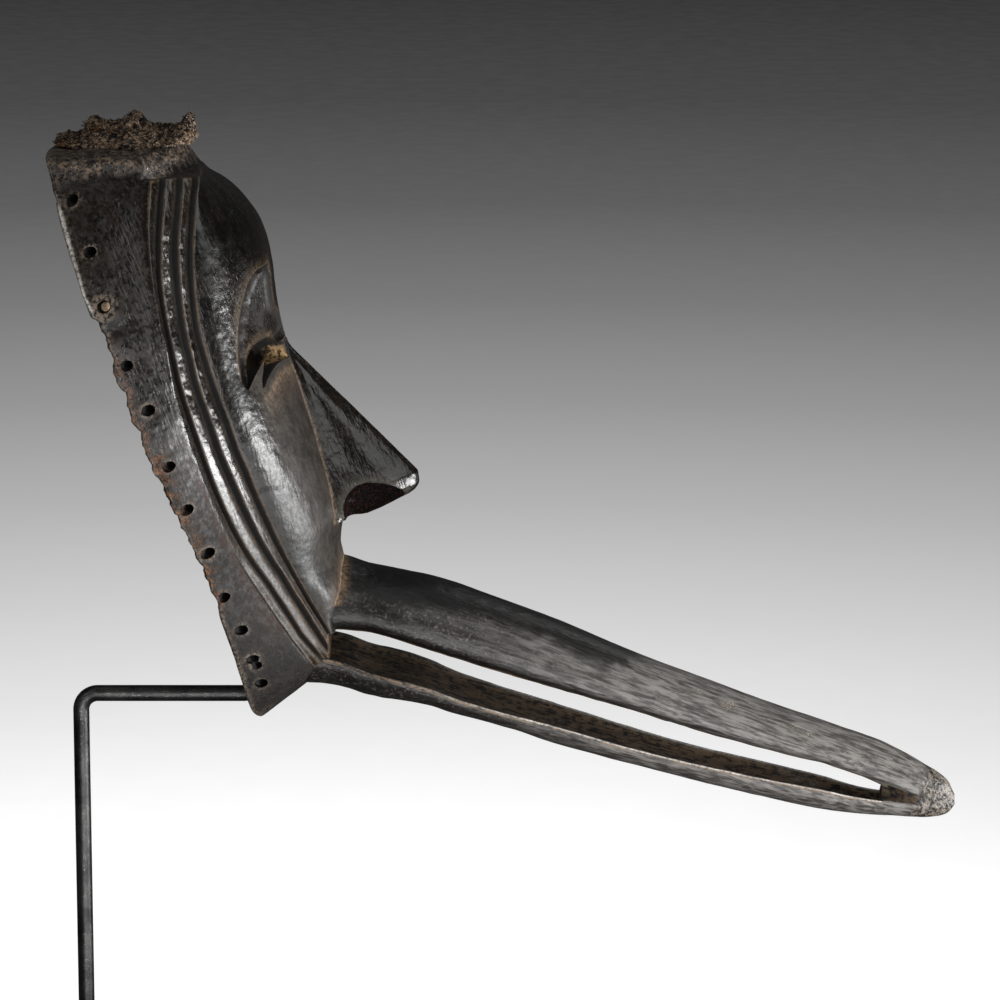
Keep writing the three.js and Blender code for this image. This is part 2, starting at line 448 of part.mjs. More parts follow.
// The plate it stands in, with rounded corners, a small bevel and a socket.
const plateShape = new THREE.Shape();
{
  const hx = PLATE.x / 2 - PLATE.edge, hy = PLATE.y / 2 - PLATE.edge, r = PLATE.corner;
  plateShape.moveTo(-hx + r, -hy);
  plateShape.lineTo(hx - r, -hy); plateShape.absarc(hx - r, -hy + r, r, -Math.PI / 2, 0, false);
  plateShape.lineTo(hx, hy - r); plateShape.absarc(hx - r, hy - r, r, 0, Math.PI / 2, false);
  plateShape.lineTo(-hx + r, hy); plateShape.absarc(-hx + r, hy - r, r, Math.PI / 2, Math.PI, false);
  plateShape.lineTo(-hx, -hy + r); plateShape.absarc(-hx + r, -hy + r, r, Math.PI, 1.5 * Math.PI, false);
}
const plateBlank = new THREE.ExtrudeGeometry(plateShape, {
  depth: PLATE.z - 2 * PLATE.edge, bevelEnabled: true, bevelThickness: PLATE.edge, bevelSize: PLATE.edge, bevelSegments: 1, curveSegments: 4,
}).translate(0, 0, PLATE.edge);
const socket = new THREE.CylinderGeometry(ROD_D / 2 + GAP, ROD_D / 2 + GAP, 20, 16).rotateX(Math.PI / 2).translate(ROD_X, 0, rodFoot - GAP + 10);
const plate = solid(plateBlank).subtract(solid(socket));

// ---------------------------------------------------------------- the object
const finish = (color, roughness, metalness) => new THREE.MeshStandardMaterial({ color, roughness, metalness });
const object = new THREE.Group();
function add(name, geometry, material) {
  const mesh = new THREE.Mesh(geometry, material);
  mesh.name = name;
  object.add(mesh);
}
add('mask', geometryOf(carved), finish(0x2a2420, 0.42, 0));
add('crown_fibre_remains', geometryOf(crust), finish(0x5b4632, 0.95, 0));
add('rim_plug', plug, finish(0x7a5c40, 0.8, 0));
add('stand_rod', geometryOf(rod), finish(0x1b1b1d, 0.45, 0.9));
add('stand_plate', geometryOf(plate), finish(0x1b1b1d, 0.5, 0.9));

export default object;
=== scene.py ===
import math
import bpy
import numpy as np
from mathutils import Vector, Matrix
from mathutils.kdtree import KDTree


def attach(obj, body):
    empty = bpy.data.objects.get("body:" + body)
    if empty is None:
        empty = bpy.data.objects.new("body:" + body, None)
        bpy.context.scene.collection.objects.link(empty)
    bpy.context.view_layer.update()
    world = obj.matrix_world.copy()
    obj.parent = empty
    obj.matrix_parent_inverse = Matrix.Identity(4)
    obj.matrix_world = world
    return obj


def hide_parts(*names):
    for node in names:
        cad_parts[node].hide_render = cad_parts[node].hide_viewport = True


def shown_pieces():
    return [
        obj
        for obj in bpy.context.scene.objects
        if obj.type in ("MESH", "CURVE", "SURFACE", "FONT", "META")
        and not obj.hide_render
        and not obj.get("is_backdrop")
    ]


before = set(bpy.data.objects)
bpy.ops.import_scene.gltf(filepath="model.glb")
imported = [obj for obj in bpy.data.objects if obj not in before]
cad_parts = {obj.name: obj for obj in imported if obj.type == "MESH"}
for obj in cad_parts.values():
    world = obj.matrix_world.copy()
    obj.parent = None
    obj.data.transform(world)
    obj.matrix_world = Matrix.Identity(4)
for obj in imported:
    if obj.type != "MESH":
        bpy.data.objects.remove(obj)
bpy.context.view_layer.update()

MM = 0.001

# ------------------------------------------------------------------ sizes
# Millimetres, in the CAD's own frame. The face's stations and the beak's
# sections repeat the CAD's tables, so this skin lies on the CAD's.
LEAN = math.radians(18.27)
COS, SIN = math.cos(LEAN), math.sin(LEAN)
FACE_X, FACE_Z = -37.87, 274.12
CHIN_V, RIBS_V, CROWN_V = -126.5, 104.0, 113.6
FAN = 0.33016
FLUTE_DEPTH = 2.3
CROWN_FLAT, CROWN_SLOPE = 0.075, 0.15
AXIS_X, AXIS_Z = 95.0, 240.0
STATION = [-126.5, -124, -117, -110, -100, -85, -70, -50, -30, -10, 10, 30, 50, 70, 85, 95, 104, 110, 113.6]
PROFILE = {
    "rimY": [3, 14, 31.3, 37.5, 44, 52, 58.2, 64.6, 69.3, 72.5, 73.5, 73.3, 72.2, 69.6, 66, 62, 56, 49.5, 43],
    "rimN": [0, 0, 0.1, 0.7, 1.8, 3, 3.6, 2.9, 1.4, -0.4, -1.2, -1.8, -2.6, -3.1, -2.9, -2.4, -2, -1.3, -0.8],
    "n1": [29, 29, 28.6, 27.4, 25.2, 22.9, 20.5, 17.3, 16, 15.8, 16.6, 18.6, 21, 24, 27, 30, 32.7, 34.5, 35.5],
    "y1": [3, 13, 28.6, 33.2, 36.8, 41.5, 46.8, 53.7, 59, 63.2, 65.2, 65.4, 63.8, 61, 58, 54.5, 50, 46, 43],
    "n2": [33, 33, 32.5, 31.2, 29.2, 27.6, 25.4, 21.2, 19.4, 19.3, 19.8, 21.5, 24.3, 28.6, 32.6, 35.6, 38.4, 40, 41],
    "y2": [2.9, 12.5, 27, 31.2, 34.6, 38.9, 43.8, 50.2, 55.3, 59.7, 61.6, 61.9, 60.2, 57.6, 55, 51.5, 47.5, 44, 41],
    "n3": [36.5, 36.5, 36.3, 35.8, 34.8, 33, 31.2, 28, 26.4, 25.9, 26.1, 27.6, 30.8, 34.8, 38.7, 41.6, 44.3, 46, 47],
    "y3": [2.8, 12, 25.4, 29.2, 32.4, 36.2, 40.6, 46.8, 52, 56.3, 57.9, 58, 56.3, 54, 51.5, 48, 44.5, 41, 38],
    "n4": [39.5, 39.5, 39, 38.7, 37.6, 36, 34.6, 33.1, 32, 31.8, 31.6, 32.3, 35.6, 39.9, 43.8, 46.7, 49.9, 51.5, 52.5],
    "y4": [2.6, 11.4, 23.8, 27.2, 30, 33.4, 37.4, 43.2, 48.6, 52.8, 54.3, 54.4, 52.8, 50.4, 48, 45, 41.5, 38, 35],
}
MIDDLE_V = [-126.5, -117, -110, -100, -90, -82.4, -74.3, -66.7, -61.8, -56, -42, -28, -16, 0, 11.6, 16.5, 26.2, 34, 42.8, 57, 76.2, 85, 90.2, 95, 98.2, 101.4, 104, 113.6]
MIDDLE_N = [38.5, 39.6, 41.5, 47.5, 50, 50.4, 50.9, 52.8, 55, 57, 57.7, 57.7, 57.4, 57, 56.6, 57, 58, 59.4, 61.4, 62.6, 61.7, 60.2, 58.7, 56.4, 54, 50.2, 48.7, 45.3]
HOLLOW_V = [-121.5, -119, -114, -108, -100, -85, -70, -50, -28, -10, 10, 30, 57, 80, 92, 99, 103.5, 106.8]
HOLLOW_N = [9, 20, 27, 30.5, 34, 40, 43.5, 48, 49, 46.5, 43.8, 46, 53, 50.5, 44, 36.5, 30, 20]
HOLLOW_Y = [7.5, 14, 22.5, 28.5, 34.5, 43, 49.8, 56.6, 61.6, 65, 66.4, 66.1, 63.6, 59.6, 54.5, 49.5, 44.5, 37]
BEAK = {
    "x": [-78, -61.5, -51, -39, -27.5, -19.5, 0, 23.5, 55, 78.5, 102, 126, 142, 150, 156, 162, 168, 173, 177, 179.6],
    "top": [-21.2, -22.6, -26, -28.6, -30.7, -32.8, -39.9, -48.8, -62.3, -71.2, -80.1, -88.4, -94, -96.8, -99.7, -103, -106.8, -109.6, -113.2, -118.6],
    "lip": [-46.6, -46.8, -47.8, -51.2, -55.2, -58.1, -64.5, -72.2, -81.8, -89.7, -96.7, -103.3, -109.3, -113, -115.2, -117.2, -119, -120.4, -121.2, -121.6],
    "rim": [-56.1, -59.2, -63.1, -66.3, -70.0, -73.4, -79.9, -86.9, -96.7, -103.1, -108.5, -113.8, -118, -119.2, -119.9, -120.8, -121.4, -121.8, -122, -122.1],
    "keel": [-70.9, -72.8, -76.3, -78.1, -80.3, -82.9, -88.4, -97.0, -105.6, -112.3, -118.2, -123.8, -126.1, -126.6, -127, -127.5, -127.8, -127.5, -126.2, -122.8],
    "half": [29, 27.8, 26.4, 25.6, 24.2, 23.2, 21.7, 19.6, 17.6, 15.6, 14.4, 12.4, 9.8, 8.6, 8, 7.1, 5.8, 4.4, 2.7, 0.9],
}
TIP_X = 150.5
NOSE = {"top": 12.2, "bottom": -62.0, "bridge": 56.6, "pitch": 0.5055, "root": 44.0}
BROW = [(62.5, 37), (61.6, 42.5), (60.4, 44.6), (57.1, 45.4), (54.4, 43.6), (52.1, 40.9), (50, 37.9), (47.7, 34.2), (45.6, 30.1),
        (43.6, 25), (42, 19.5), (40.8, 14), (40.2, 9)]
LID = [(41.4, 5.2), (43.6, 7.4), (46.4, 10.2), (49.4, 12.4), (53, 13.6), (57, 14.2), (64, 14.6), (66, 26)]
EYE = [(7.2, 12.8), (11, 16), (16, 17.6), (23, 17.9), (30, 16.9), (35.2, 14.9), (39.2, 12.4), (42.2, 9.4), (45, 6.4), (46.4, 3.6),
       (44.4, 3.7), (40.6, 5.8), (35, 7.4), (28.2, 8.2), (19, 8), (11, 6.9), (7.2, 6.8)]
NOSTRIL = [(57.2, -57.5), (58.7, -53.6), (61.3, -50.8), (65, -49), (70, -48.2), (74.5, -49), (79.5, -50.4), (84.5, -52.4), (88.4, -54.2), (91, -56.6), (91.6, -66), (57, -66)]
HOLES = [(96.5, 3.8), (76.6, 4.6), (55.9, 3.4), (32.6, 4.2), (13.8, 6.2), (-9.1, 6.4), (-27.3, 7.2), (-46.4, 8.6), (-65.4, 8.2),
         (-81.2, 9.4), (-94.9, 9), (-106.2, 8.2), (-120.4, 4.6)]
HOLE_D = 4.3
ROD_D, ROD_BEND = 6.35, 6.6
ROD_X, ROD_Z, PRONG_X, PRONG_TOP = -164.8 + AXIS_X, -77.6 + AXIS_Z, -94 + AXIS_X, 45.5 + AXIS_Z
PLATE = {"x": 220.0, "y": 130.0, "z": 10.0, "edge": 1.2, "corner": 5.0}


# ------------------------------------------------------------------ maths
def along(xs, ys, x):
    """Monotone cubic through a table, the same curve as the CAD's."""
    xs, ys, x = np.asarray(xs, float), np.asarray(ys, float), np.asarray(x, float)
    h = np.diff(xs)
    s = np.diff(ys) / h
    m = np.zeros_like(ys)
    m[0], m[-1] = s[0], s[-1]
    for i in range(1, len(xs) - 1):
        if s[i - 1] * s[i] > 0:
            m[i] = 3 * (h[i - 1] + h[i]) / ((2 * h[i] + h[i - 1]) / s[i - 1] + (2 * h[i - 1] + h[i]) / s[i])
    xc = np.clip(x, xs[0], xs[-1])
    k = np.clip(np.searchsorted(xs, xc, "right") - 1, 0, len(xs) - 2)
    t = (xc - xs[k]) / h[k]
    t2, t3 = t * t, t * t * t
    return (2 * t3 - 3 * t2 + 1) * ys[k] + (t3 - 2 * t2 + t) * h[k] * m[k] + (3 * t2 - 2 * t3) * ys[k + 1] + (t3 - t2) * h[k] * m[k + 1]


def at(key, v):
    return along(STATION, PROFILE[key], v)


def beak_at(key, x):
    return along(BEAK["x"], BEAK[key], x)


def smooth(a, b, x):
    t = np.clip((np.asarray(x, float) - a) / (b - a), 0, 1)
    return t * t * (3 - 2 * t)


def fan_of(v):
    return FAN * (smooth(40, 104, v) - 1.06 * (1 - smooth(-117, -60, v)))


def face_to_part(n, u, y):
    n, u, y = np.broadcast_arrays(np.asarray(n, float), np.asarray(u, float), np.asarray(y, float))
    return np.stack([FACE_X + n * COS - u * SIN, y, FACE_Z + n * SIN + u * COS], -1)


def part_to_face(p):
    dx, dz = p[..., 0] - FACE_X, p[..., 2] - FACE_Z
    return dx * COS + dz * SIN, -dx * SIN + dz * COS, p[..., 1]


def place(v, n, y):
    v = np.broadcast_to(np.asarray(v, float), np.shape(n))
    u = v - fan_of(v) * n
    crown = smooth(66, 104, v)
    left = np.clip(y, 0, None)
    p = face_to_part(n * (1 - CROWN_FLAT * crown * np.minimum(left / 30, 1)), u, y)
    p[..., 2] -= CROWN_SLOPE * crown * left
    return p


def v_at(n, u):
    v = np.array(u, float)
    for _ in range(12):
        v = u + fan_of(v) * n
    return v


def hashed(ix, iy, iz, seed):
    h = (ix.astype(np.uint32) * np.uint32(374761393)) ^ (iy.astype(np.uint32) * np.uint32(668265263)) ^ (iz.astype(np.uint32) * np.uint32(2246822519))
    h = (h + np.uint32(seed * 3266489917 & 0xFFFFFFFF)) * np.uint32(2654435761)
    h ^= h >> np.uint32(15)
    h *= np.uint32(2246822519)
    h ^= h >> np.uint32(13)
    h *= np.uint32(3266489917)
    h ^= h >> np.uint32(16)
    return h.astype(np.float64) / 4294967295.0 * 2 - 1


def noise(p, seed=0):
    """Smooth value noise between -1 and 1 at points p (..., 3)."""
    p = np.asarray(p, float) + 1000.0
    i = np.floor(p).astype(np.int64)
    f = p - i
    w = f * f * f * (f * (f * 6 - 15) + 10)
    out = 0.0
    for dx in (0, 1):
        for dy in (0, 1):
            for dz in (0, 1):
                k = (w[..., 0] if dx else 1 - w[..., 0]) * (w[..., 1] if dy else 1 - w[..., 1]) * (w[..., 2] if dz else 1 - w[..., 2])
                out = out + k * hashed(i[..., 0] + dx, i[..., 1] + dy, i[..., 2] + dz, seed)
    return out


def noise1(x, seed=0):
    x = np.asarray(x, float)
    return noise(np.stack([x, 0 * x + 0.37, 0 * x + 0.71], -1), seed)


def fractal(p, seed=0, octaves=3, gain=0.5):
    total, amp, norm = 0.0, 1.0, 0.0
    p = np.asarray(p, float)
    for k in range(octaves):
        total = total + amp * noise(p * (2.03 ** k), seed + 17 * k)
        norm += amp
        amp *= gain
    return total / norm


def curve_through(points, per, closed=False):
    """A centripetal-looking smooth line through the points, per steps in each span."""
    pts = np.asarray(points, float)
    n = len(pts)
    out = []
    spans = n if closed else n - 1
    for i in range(spans):
        p1, p2 = pts[i % n], pts[(i + 1) % n]
        p0 = pts[(i - 1) % n] if closed or i > 0 else 2 * p1 - p2
        p3 = pts[(i + 2) % n] if closed or i + 2 < n else 2 * p2 - p1
        d = np.linalg.norm(p2 - p1)
        m1 = (p2 - p0) / (np.linalg.norm(p2 - p1) + np.linalg.norm(p1 - p0) + 1e-9) * d
        m2 = (p3 - p1) / (np.linalg.norm(p3 - p2) + np.linalg.norm(p2 - p1) + 1e-9) * d
        for k in range(per):
            t = k / per
            t2, t3 = t * t, t * t * t
            out.append((2 * t3 - 3 * t2 + 1) * p1 + (t3 - 2 * t2 + t) * m1 + (3 * t2 - 2 * t3) * p2 + (t3 - t2) * m2)
    if not closed:
        out.append(pts[-1])
    return np.array(out)


def bezier(p0, p1, p2, p3, t):
    """Cubic Bezier; control points (..., 2) and t (k) give (..., k, 2)."""
    t = np.asarray(t)[:, None]
    p0, p1, p2, p3 = (np.asarray(p, float)[..., None, :] for p in (p0, p1, p2, p3))
    return (1 - t) ** 3 * p0 + 3 * (1 - t) ** 2 * t * p1 + 3 * (1 - t) * t * t * p2 + t ** 3 * p3


# ------------------------------------------------------------------ meshes
def new_mesh(name, verts, faces, fields=None):
    """A mesh object from millimetre points, its faces turned outwards."""
    verts = np.asarray(verts, float)
    tri = []
    for f in faces:
        for k in range(1, len(f) - 1):
            tri.append((f[0], f[k], f[k + 1]))
    tri = np.array(tri)
    a, b, c = verts[tri[:, 0]], verts[tri[:, 1]], verts[tri[:, 2]]
    volume = np.einsum("ij,ij->i", a, np.cross(b, c)).sum() / 6
    if volume < 0:
        faces = [tuple(reversed(f)) for f in faces]
    me = bpy.data.meshes.new(name)
    me.from_pydata((verts * MM).tolist(), [], faces)
    me.update()
    for key, values in (fields or {}).items():
        me.attributes.new(key, "FLOAT", "POINT").data.foreach_set("value", np.asarray(values, np.float32))
    ob = bpy.data.objects.new(name, me)
    bpy.context.scene.collection.objects.link(ob)
    return ob


def loft_faces(rows, cols, start=0, closed=True):
    r, c = np.meshgrid(np.arange(rows - 1), np.arange(cols if closed else cols - 1), indexing="ij")
    a = start + r * cols + c
    b = start + r * cols + (c + 1) % cols
    return np.stack([a, b, b + cols, a + cols], -1).reshape(-1, 4).tolist()


def loft(name, rings, fields=None):
    """A closed solid over equal rings (R, C, 3), both ends fanned shut."""
    rings = np.asarray(rings, float)
    rows, cols = rings.shape[:2]
    verts = rings.reshape(-1, 3)
    faces = [tuple(f) for f in loft_faces(rows, cols)]
    first, last = len(verts), len(verts) + 1
    verts = np.vstack([verts, rings[0].mean(0), rings[-1].mean(0)])
    for i in range(cols):
        j = (i + 1) % cols
        faces.append((j, i, first))
        faces.append(((rows - 1) * cols + i, (rows - 1) * cols + j, last))
    packed = {}
    for key, values in (fields or {}).items():
        values = np.asarray(values, float)
        packed[key] = np.concatenate([values.reshape(-1), [values[0].mean(), values[-1].mean()]])
    return new_mesh(name, verts, faces, packed)


def join_meshes(name, objects):
    """Several closed meshes that don't touch, as one."""
    verts, faces, start = [], [], 0
    for ob in objects:
        me = ob.data
        co = np.empty(len(me.vertices) * 3)
        me.vertices.foreach_get("co", co)
        verts.append(co.reshape(-1, 3) / MM)
        faces += [tuple(start + i for i in p.vertices) for p in me.polygons]
        start += len(me.vertices)
        bpy.data.objects.remove(ob)
        bpy.data.meshes.remove(me)
    return new_mesh(name, np.vstack(verts), faces)


def points_of(me):
    co = np.empty(len(me.vertices) * 3)
    me.vertices.foreach_get("co", co)
    return co.reshape(-1, 3) / MM


def field(me, key):
    out = np.zeros(len(me.vertices), np.float32)
    if key in me.attributes:
        me.attributes[key].data.foreach_get("value", out)
    return out


def put_field(me, key, values):
    if key not in me.attributes:
        me.attributes.new(key, "FLOAT", "POINT")
    me.attributes[key].data.foreach_set("value", np.asarray(values, np.float32))


def combine(base, tool, how, part, cut):
    """base joined with or cut by tool. New points on the seam get the number cut, and the tool's points the number part, in the field part."""
    if "part" not in tool.data.attributes:
        put_field(tool.data, "part", np.full(len(tool.data.vertices), part))
    m = base.modifiers.new("cut", "BOOLEAN")
    m.object, m.operation, m.solver = tool, how, "MANIFOLD"
    deps = bpy.context.evaluated_depsgraph_get()
    me = bpy.data.meshes.new_from_object(base.evaluated_get(deps))
    base.modifiers.clear()
    old = base.data
    base.data = me
    bpy.data.meshes.remove(old)
    values = field(me, "part")
    values[values < 0.5] = cut
    put_field(me, "part", values)
    old = tool.data
    bpy.data.objects.remove(tool)
    bpy.data.meshes.remove(old)
    if len(me.polygons) == 0:
        raise RuntimeError("an empty result after " + how)
    return base


# ------------------------------------------------------------------ the face's skin
FLANGE_T = np.concatenate([np.linspace(0, 0.93, 24)[1:], [0.955, 0.975]])
FLUTE_T = np.array([0.0, .035, .08, .14, .21, .29, .38, .47, .555, .63, .69, .745, .79, .85, .92, .97])
FLUTE_D = np.array([0.0, .015, .05, .085, .13, .18, .24, .33, .47, .66, .84, .96, 1.0, .74, .26, .03])
FRONT_T = np.linspace(0, 1, 54)[1:]
# worm-eaten bites along the right rim: station, depth, half length
BITES = [(-4, 1.3, 3.2), (-13, 0.9, 2.6), (-21, 1.7, 4.2), (-31, 1.1, 3.0), (-39, 2.0, 4.4), (-50, 1.0, 2.6), (-58, 1.6, 4.0), (-67, 1.1, 3.2),
         (8, 0.8, 2.6), (22, 1.0, 3.0), (35, 1.2, 3.4), (46, 1.0, 2.4), (98, 0.8, 1.6), (-92, 0.3, 2.4)]


def rim_edge(v, right):
    """(how far out, how far in from the side) the rim's edge sits."""
    n = at("rimN", v)
    eaten = (1 - smooth(51, 54, v)) * smooth(-76, -60, v)
    wob = 0.5 * np.sin(v * 0.21 * 1.7) + 0.3 * np.sin(v * 0.21 * 4.1 + 1.3) + 0.2 * np.sin(v * 0.21 * 9.3 + 0.4)
    rough = 0.62 * noise1(v / 5.3, 3 if right else 5) + 0.2 * noise1(v / 2.1, 4 if right else 6)
    back = np.zeros_like(n)
    if right:
        n = n + eaten * (1.4 * smooth(25, 50, v) + 0.6 + 0.9 * wob + 0.9 * rough) + (1 - eaten) * 0.1 * rough
        for v0, deep, half in BITES:
            g = np.exp(-((v - v0) / half) ** 2)
            n = n + deep * g * 0.55
            back = back + deep * g * 0.5
        back = back + eaten * 0.35 * (1 + rough)
    else:
        worn = 0.55 + 0.45 * noise1(v / 17.0, 9)
        n = n + 0.35 * rough + 0.5 * worn * smooth(-90, -40, v) * (1 - smooth(60, 90, v))
        back = 0.25 * (1 + rough)
    return n, back


def half_sections(v, right):
    """Dense half sections for stations v: y, n and s (0 rim, 1..4 the crests, 5 middle)."""
    v = np.asarray(v, float)[:, None]
    sd = 11 if right else 41
    rim_n, rim_back = rim_edge(v, right)
    rim_y = at("rimY", v) - rim_back * smooth(-124, -112, v)
    line_y, line_n = [], []
    calm = smooth(-122, -108, v)
    for i in (1, 2, 3, 4):
        line_y.append(at("y%d" % i, v) + 0.28 * calm * noise1(v / 19.0 + 7 * i, sd + i) + 0.10 * calm * noise1(v / 5.0 + 3 * i, sd + i + 9))
        line_n.append(at("n%d" % i, v) + 0.22 * calm * noise1(v / 15.0 + 5 * i, sd + i + 20))
    step = 0.9 * smooth(10, 40, v) - 1.4 * (1 - smooth(-75, -45, v))
    dy, dn = line_y[3] - line_y[0], line_n[3] - line_n[0]
    length = np.hypot(dy, dn)
    oy, on = dn / length, -dy / length
    ys, ns, ss = [], [], []

    def put(y, n, s):
        ys.append(y)
        ns.append(n)
        ss.append(np.broadcast_to(s, y.shape))
    # the rim's rounded edge
    edge = np.minimum(3.0, 0.6 * rim_y)
    soft = 0.8 + 0.5 * noise1(v / 9.0, sd + 31)
    for back, up in ((1.0, -0.05), (0.42, 0.0), (0.18, 0.16), (0.06, 0.5)):
        put(rim_y - edge * back, rim_n + up * soft, -0.12 * back)
    put(rim_y, rim_n + 1.15 * soft, 0.0)
    y0, n0 = rim_y, rim_n + 1.15 * soft
    for t in FLANGE_T:
        y = y0 + (line_y[0] - y0) * t + 0.8 * 4 * t * (1 - t)
        n = n0 + (line_n[0] - n0) * t
        d = step * smooth(0.945, 1.0, t)
        put(y + oy * d, n + on * d, t)
    deep = FLUTE_DEPTH * smooth(-126, -112, v)
    for i in range(3):
        own = deep * (1 + 0.16 * noise1(v / 23.0 + i, sd + 50 + i))
        for t, d in zip(FLUTE_T, FLUTE_D):
            out = -own * d
            if i == 0:
                out = out + step * np.interp(t, [0, .42, .78, 1], [1, .6, 0, 0])
            y = line_y[i] + (line_y[i + 1] - line_y[i]) * t + oy * out
            n = line_n[i] + (line_n[i + 1] - line_n[i]) * t + on * out
            put(y, n, i + 1 + t)
    put(line_y[3], line_n[3], 4.0)
    mid = along(MIDDLE_V, MIDDLE_N, v)
    y4, n4 = line_y[3], line_n[3]
    lift = np.maximum(mid - n4, 0)
    full, rnd = 1 - smooth(-98, -72, v), smooth(68, 97, v)
    p = [(y4, n4), (y4 - 2 - 0.02 * lift ** 1.2 + 1.2 * full, n4 + (0.5 + 0.28 * full - 0.1 * rnd) * (mid - n4)),
         ((0.52 + 0.12 * full - 0.27 * rnd) * y4, mid + 0.4 * full), (0 * y4, mid)]
    p = [np.concatenate(q, 1) for q in p]
    c = bezier(p[0], p[1], p[2], p[3], FRONT_T)
    y = np.concatenate(ys + [c[..., 0]], 1)
    n = np.concatenate(ns + [c[..., 1]], 1)
    s = np.concatenate(ss + [np.broadcast_to(4 + FRONT_T, c[..., 0].shape)], 1)
    return y, n, s


def plain_tops(v, y_ref, n_ref, s_ref, y_slope, n_slope):
    """The plain top of the head: the flange runs on, and from the first crest inwards one smooth line replaces the ribs."""
    v = np.asarray(v, float)[:, None]
    narrow = along([104, 108, 110.5, 112.3, 113.3, 113.6], [56, 56, 55.6, 53.4, 47, 36], v) / 56
    mid = along(MIDDLE_V, MIDDLE_N, v)
    side = float(at("y1", RIBS_V)) - 1.3
    keep = s_ref <= 0.931
    ref = np.concatenate([[0], np.cumsum(np.hypot(np.diff(y_ref), np.diff(n_ref)))])
    first = ref[keep].max()
    share = np.clip((ref - first) / (ref[-1] - first), 0, 1)
    t = np.linspace(0, 1, 200)
    ys, ns = [], []
    for k in range(len(v)):
        m = float(mid[k, 0]) - 0.4
        c = bezier((side, 31.8), (side - 5, 43), (20, m), (0, m), t)
        on = 5.0 * (1 - math.exp(-(float(v[k, 0]) - RIBS_V) / 5.0))
        y_on, n_on = y_ref + y_slope * on, n_ref + n_slope * on
        poly = np.vstack([[y_on[keep][-1], n_on[keep][-1]], c])
        d = np.concatenate([[0], np.cumsum(np.hypot(*np.diff(poly, axis=0).T))])
        d /= d[-1]
        ys.append(np.where(keep, y_on, np.interp(share, d, poly[:, 0])))
        ns.append(np.where(keep, n_on, np.interp(share, d, poly[:, 1])))
    return np.array(ys) * narrow, np.array(ns)


def face_skin():
    v = [CHIN_V, -125.6, -124.8]
    x = -124.0
    while x < RIBS_V - 0.8:
        v.append(x)
        x += 1.22 if -80 < x < 60 else 1.35
    v = np.array(v + [RIBS_V])
    halves = [half_sections(v, True), half_sections(v, False)]
    top_v = np.array([RIBS_V + 0.45, 105.2, 106.4, 107.6, 108.8, 109.8, 110.6, 111.3, 111.9, 112.4, 112.8, 113.1, 113.35, 113.5, CROWN_V])
    rows = []
    fields_s, fields_v = [], []
    all_v = np.concatenate([v, top_v])
    full = []
    for y, n, s in halves:
        run = v[-1] - v[-4]
        ty, tn = plain_tops(top_v, y[-1], n[-1], s[-1], (y[-1] - y[-4]) / run, (n[-1] - n[-4]) / run)
        full.append((np.vstack([y, ty]), np.vstack([n, tn]), np.vstack([s, np.repeat(s[-1:], len(top_v), 0)])))
    (yr, nr, sr), (yl, nl, sl) = full
    vv = np.repeat(all_v[:, None], yr.shape[1], 1)
    right = place(vv, nr, -yr)
    left = place(vv[:, :-1], nl[:, :-1], yl[:, :-1])[:, ::-1]
    rings = np.concatenate([right, left], 1)
    s = np.concatenate([sr, sl[:, :-1][:, ::-1]], 1)
    vf = np.concatenate([vv, vv[:, :-1]], 1)
    part = np.full(s.shape, 1.0)
    return loft("mask", rings, {"part": part, "s": s + 10, "v": vf + 1000})


def hollow_tool():
    v = np.concatenate([[-121.5, -120.6, -119.4, -117.8, -115.6, -113], np.arange(-110, 97, 3.2), [98, 100, 101.6, 103.1, 104.5, 105.7, 106.8]])
    y, n = along(HOLLOW_V, HOLLOW_Y, v), along(HOLLOW_V, HOLLOW_N, v)
    side = np.minimum(at("n1", v), n * 0.62)
    t = np.linspace(0, 1, 30)
    c = bezier(np.stack([y - 1, 0 * y + 1], -1), np.stack([y - 0.45 * side, 0.75 * side + 3], -1), np.stack([0.56 * y, n], -1), np.stack([0 * y, n], -1), t)
    start = np.stack([y, 0 * y - 14], -1)[:, None, :]
    mid = np.stack([y - 0.5, 0 * y - 6], -1)[:, None, :]
    half = np.concatenate([start, mid, c], 1)
    vv = np.repeat(v[:, None], half.shape[1], 1)
    # short scooped strokes left by the adze
    yy, nn = half[..., 0], half[..., 1]
    sc = noise(np.stack([yy / 7.0, vv / 11.0, 0 * yy], -1), 77) * 0.5 + 0.3 * noise(np.stack([yy / 3.5, vv / 6.0, 0 * yy + 5], -1), 78)
    inside = smooth(3, 9, nn)
    rights = place(vv, nn + sc * inside * 0.9, -(yy + sc * inside * 0.35))
    sc2 = noise(np.stack([yy / 7.0, vv / 11.0, 0 * yy + 9], -1), 79) * 0.5 + 0.3 * noise(np.stack([yy / 3.5, vv / 6.0, 0 * yy + 5], -1), 80)
    sc2[:, -1] = sc[:, -1]
    lefts = place(vv, nn + sc2 * inside * 0.9, yy + sc2 * inside * 0.35)[:, :-1][:, ::-1]
    return loft("hollow", np.concatenate([rights, lefts], 1))


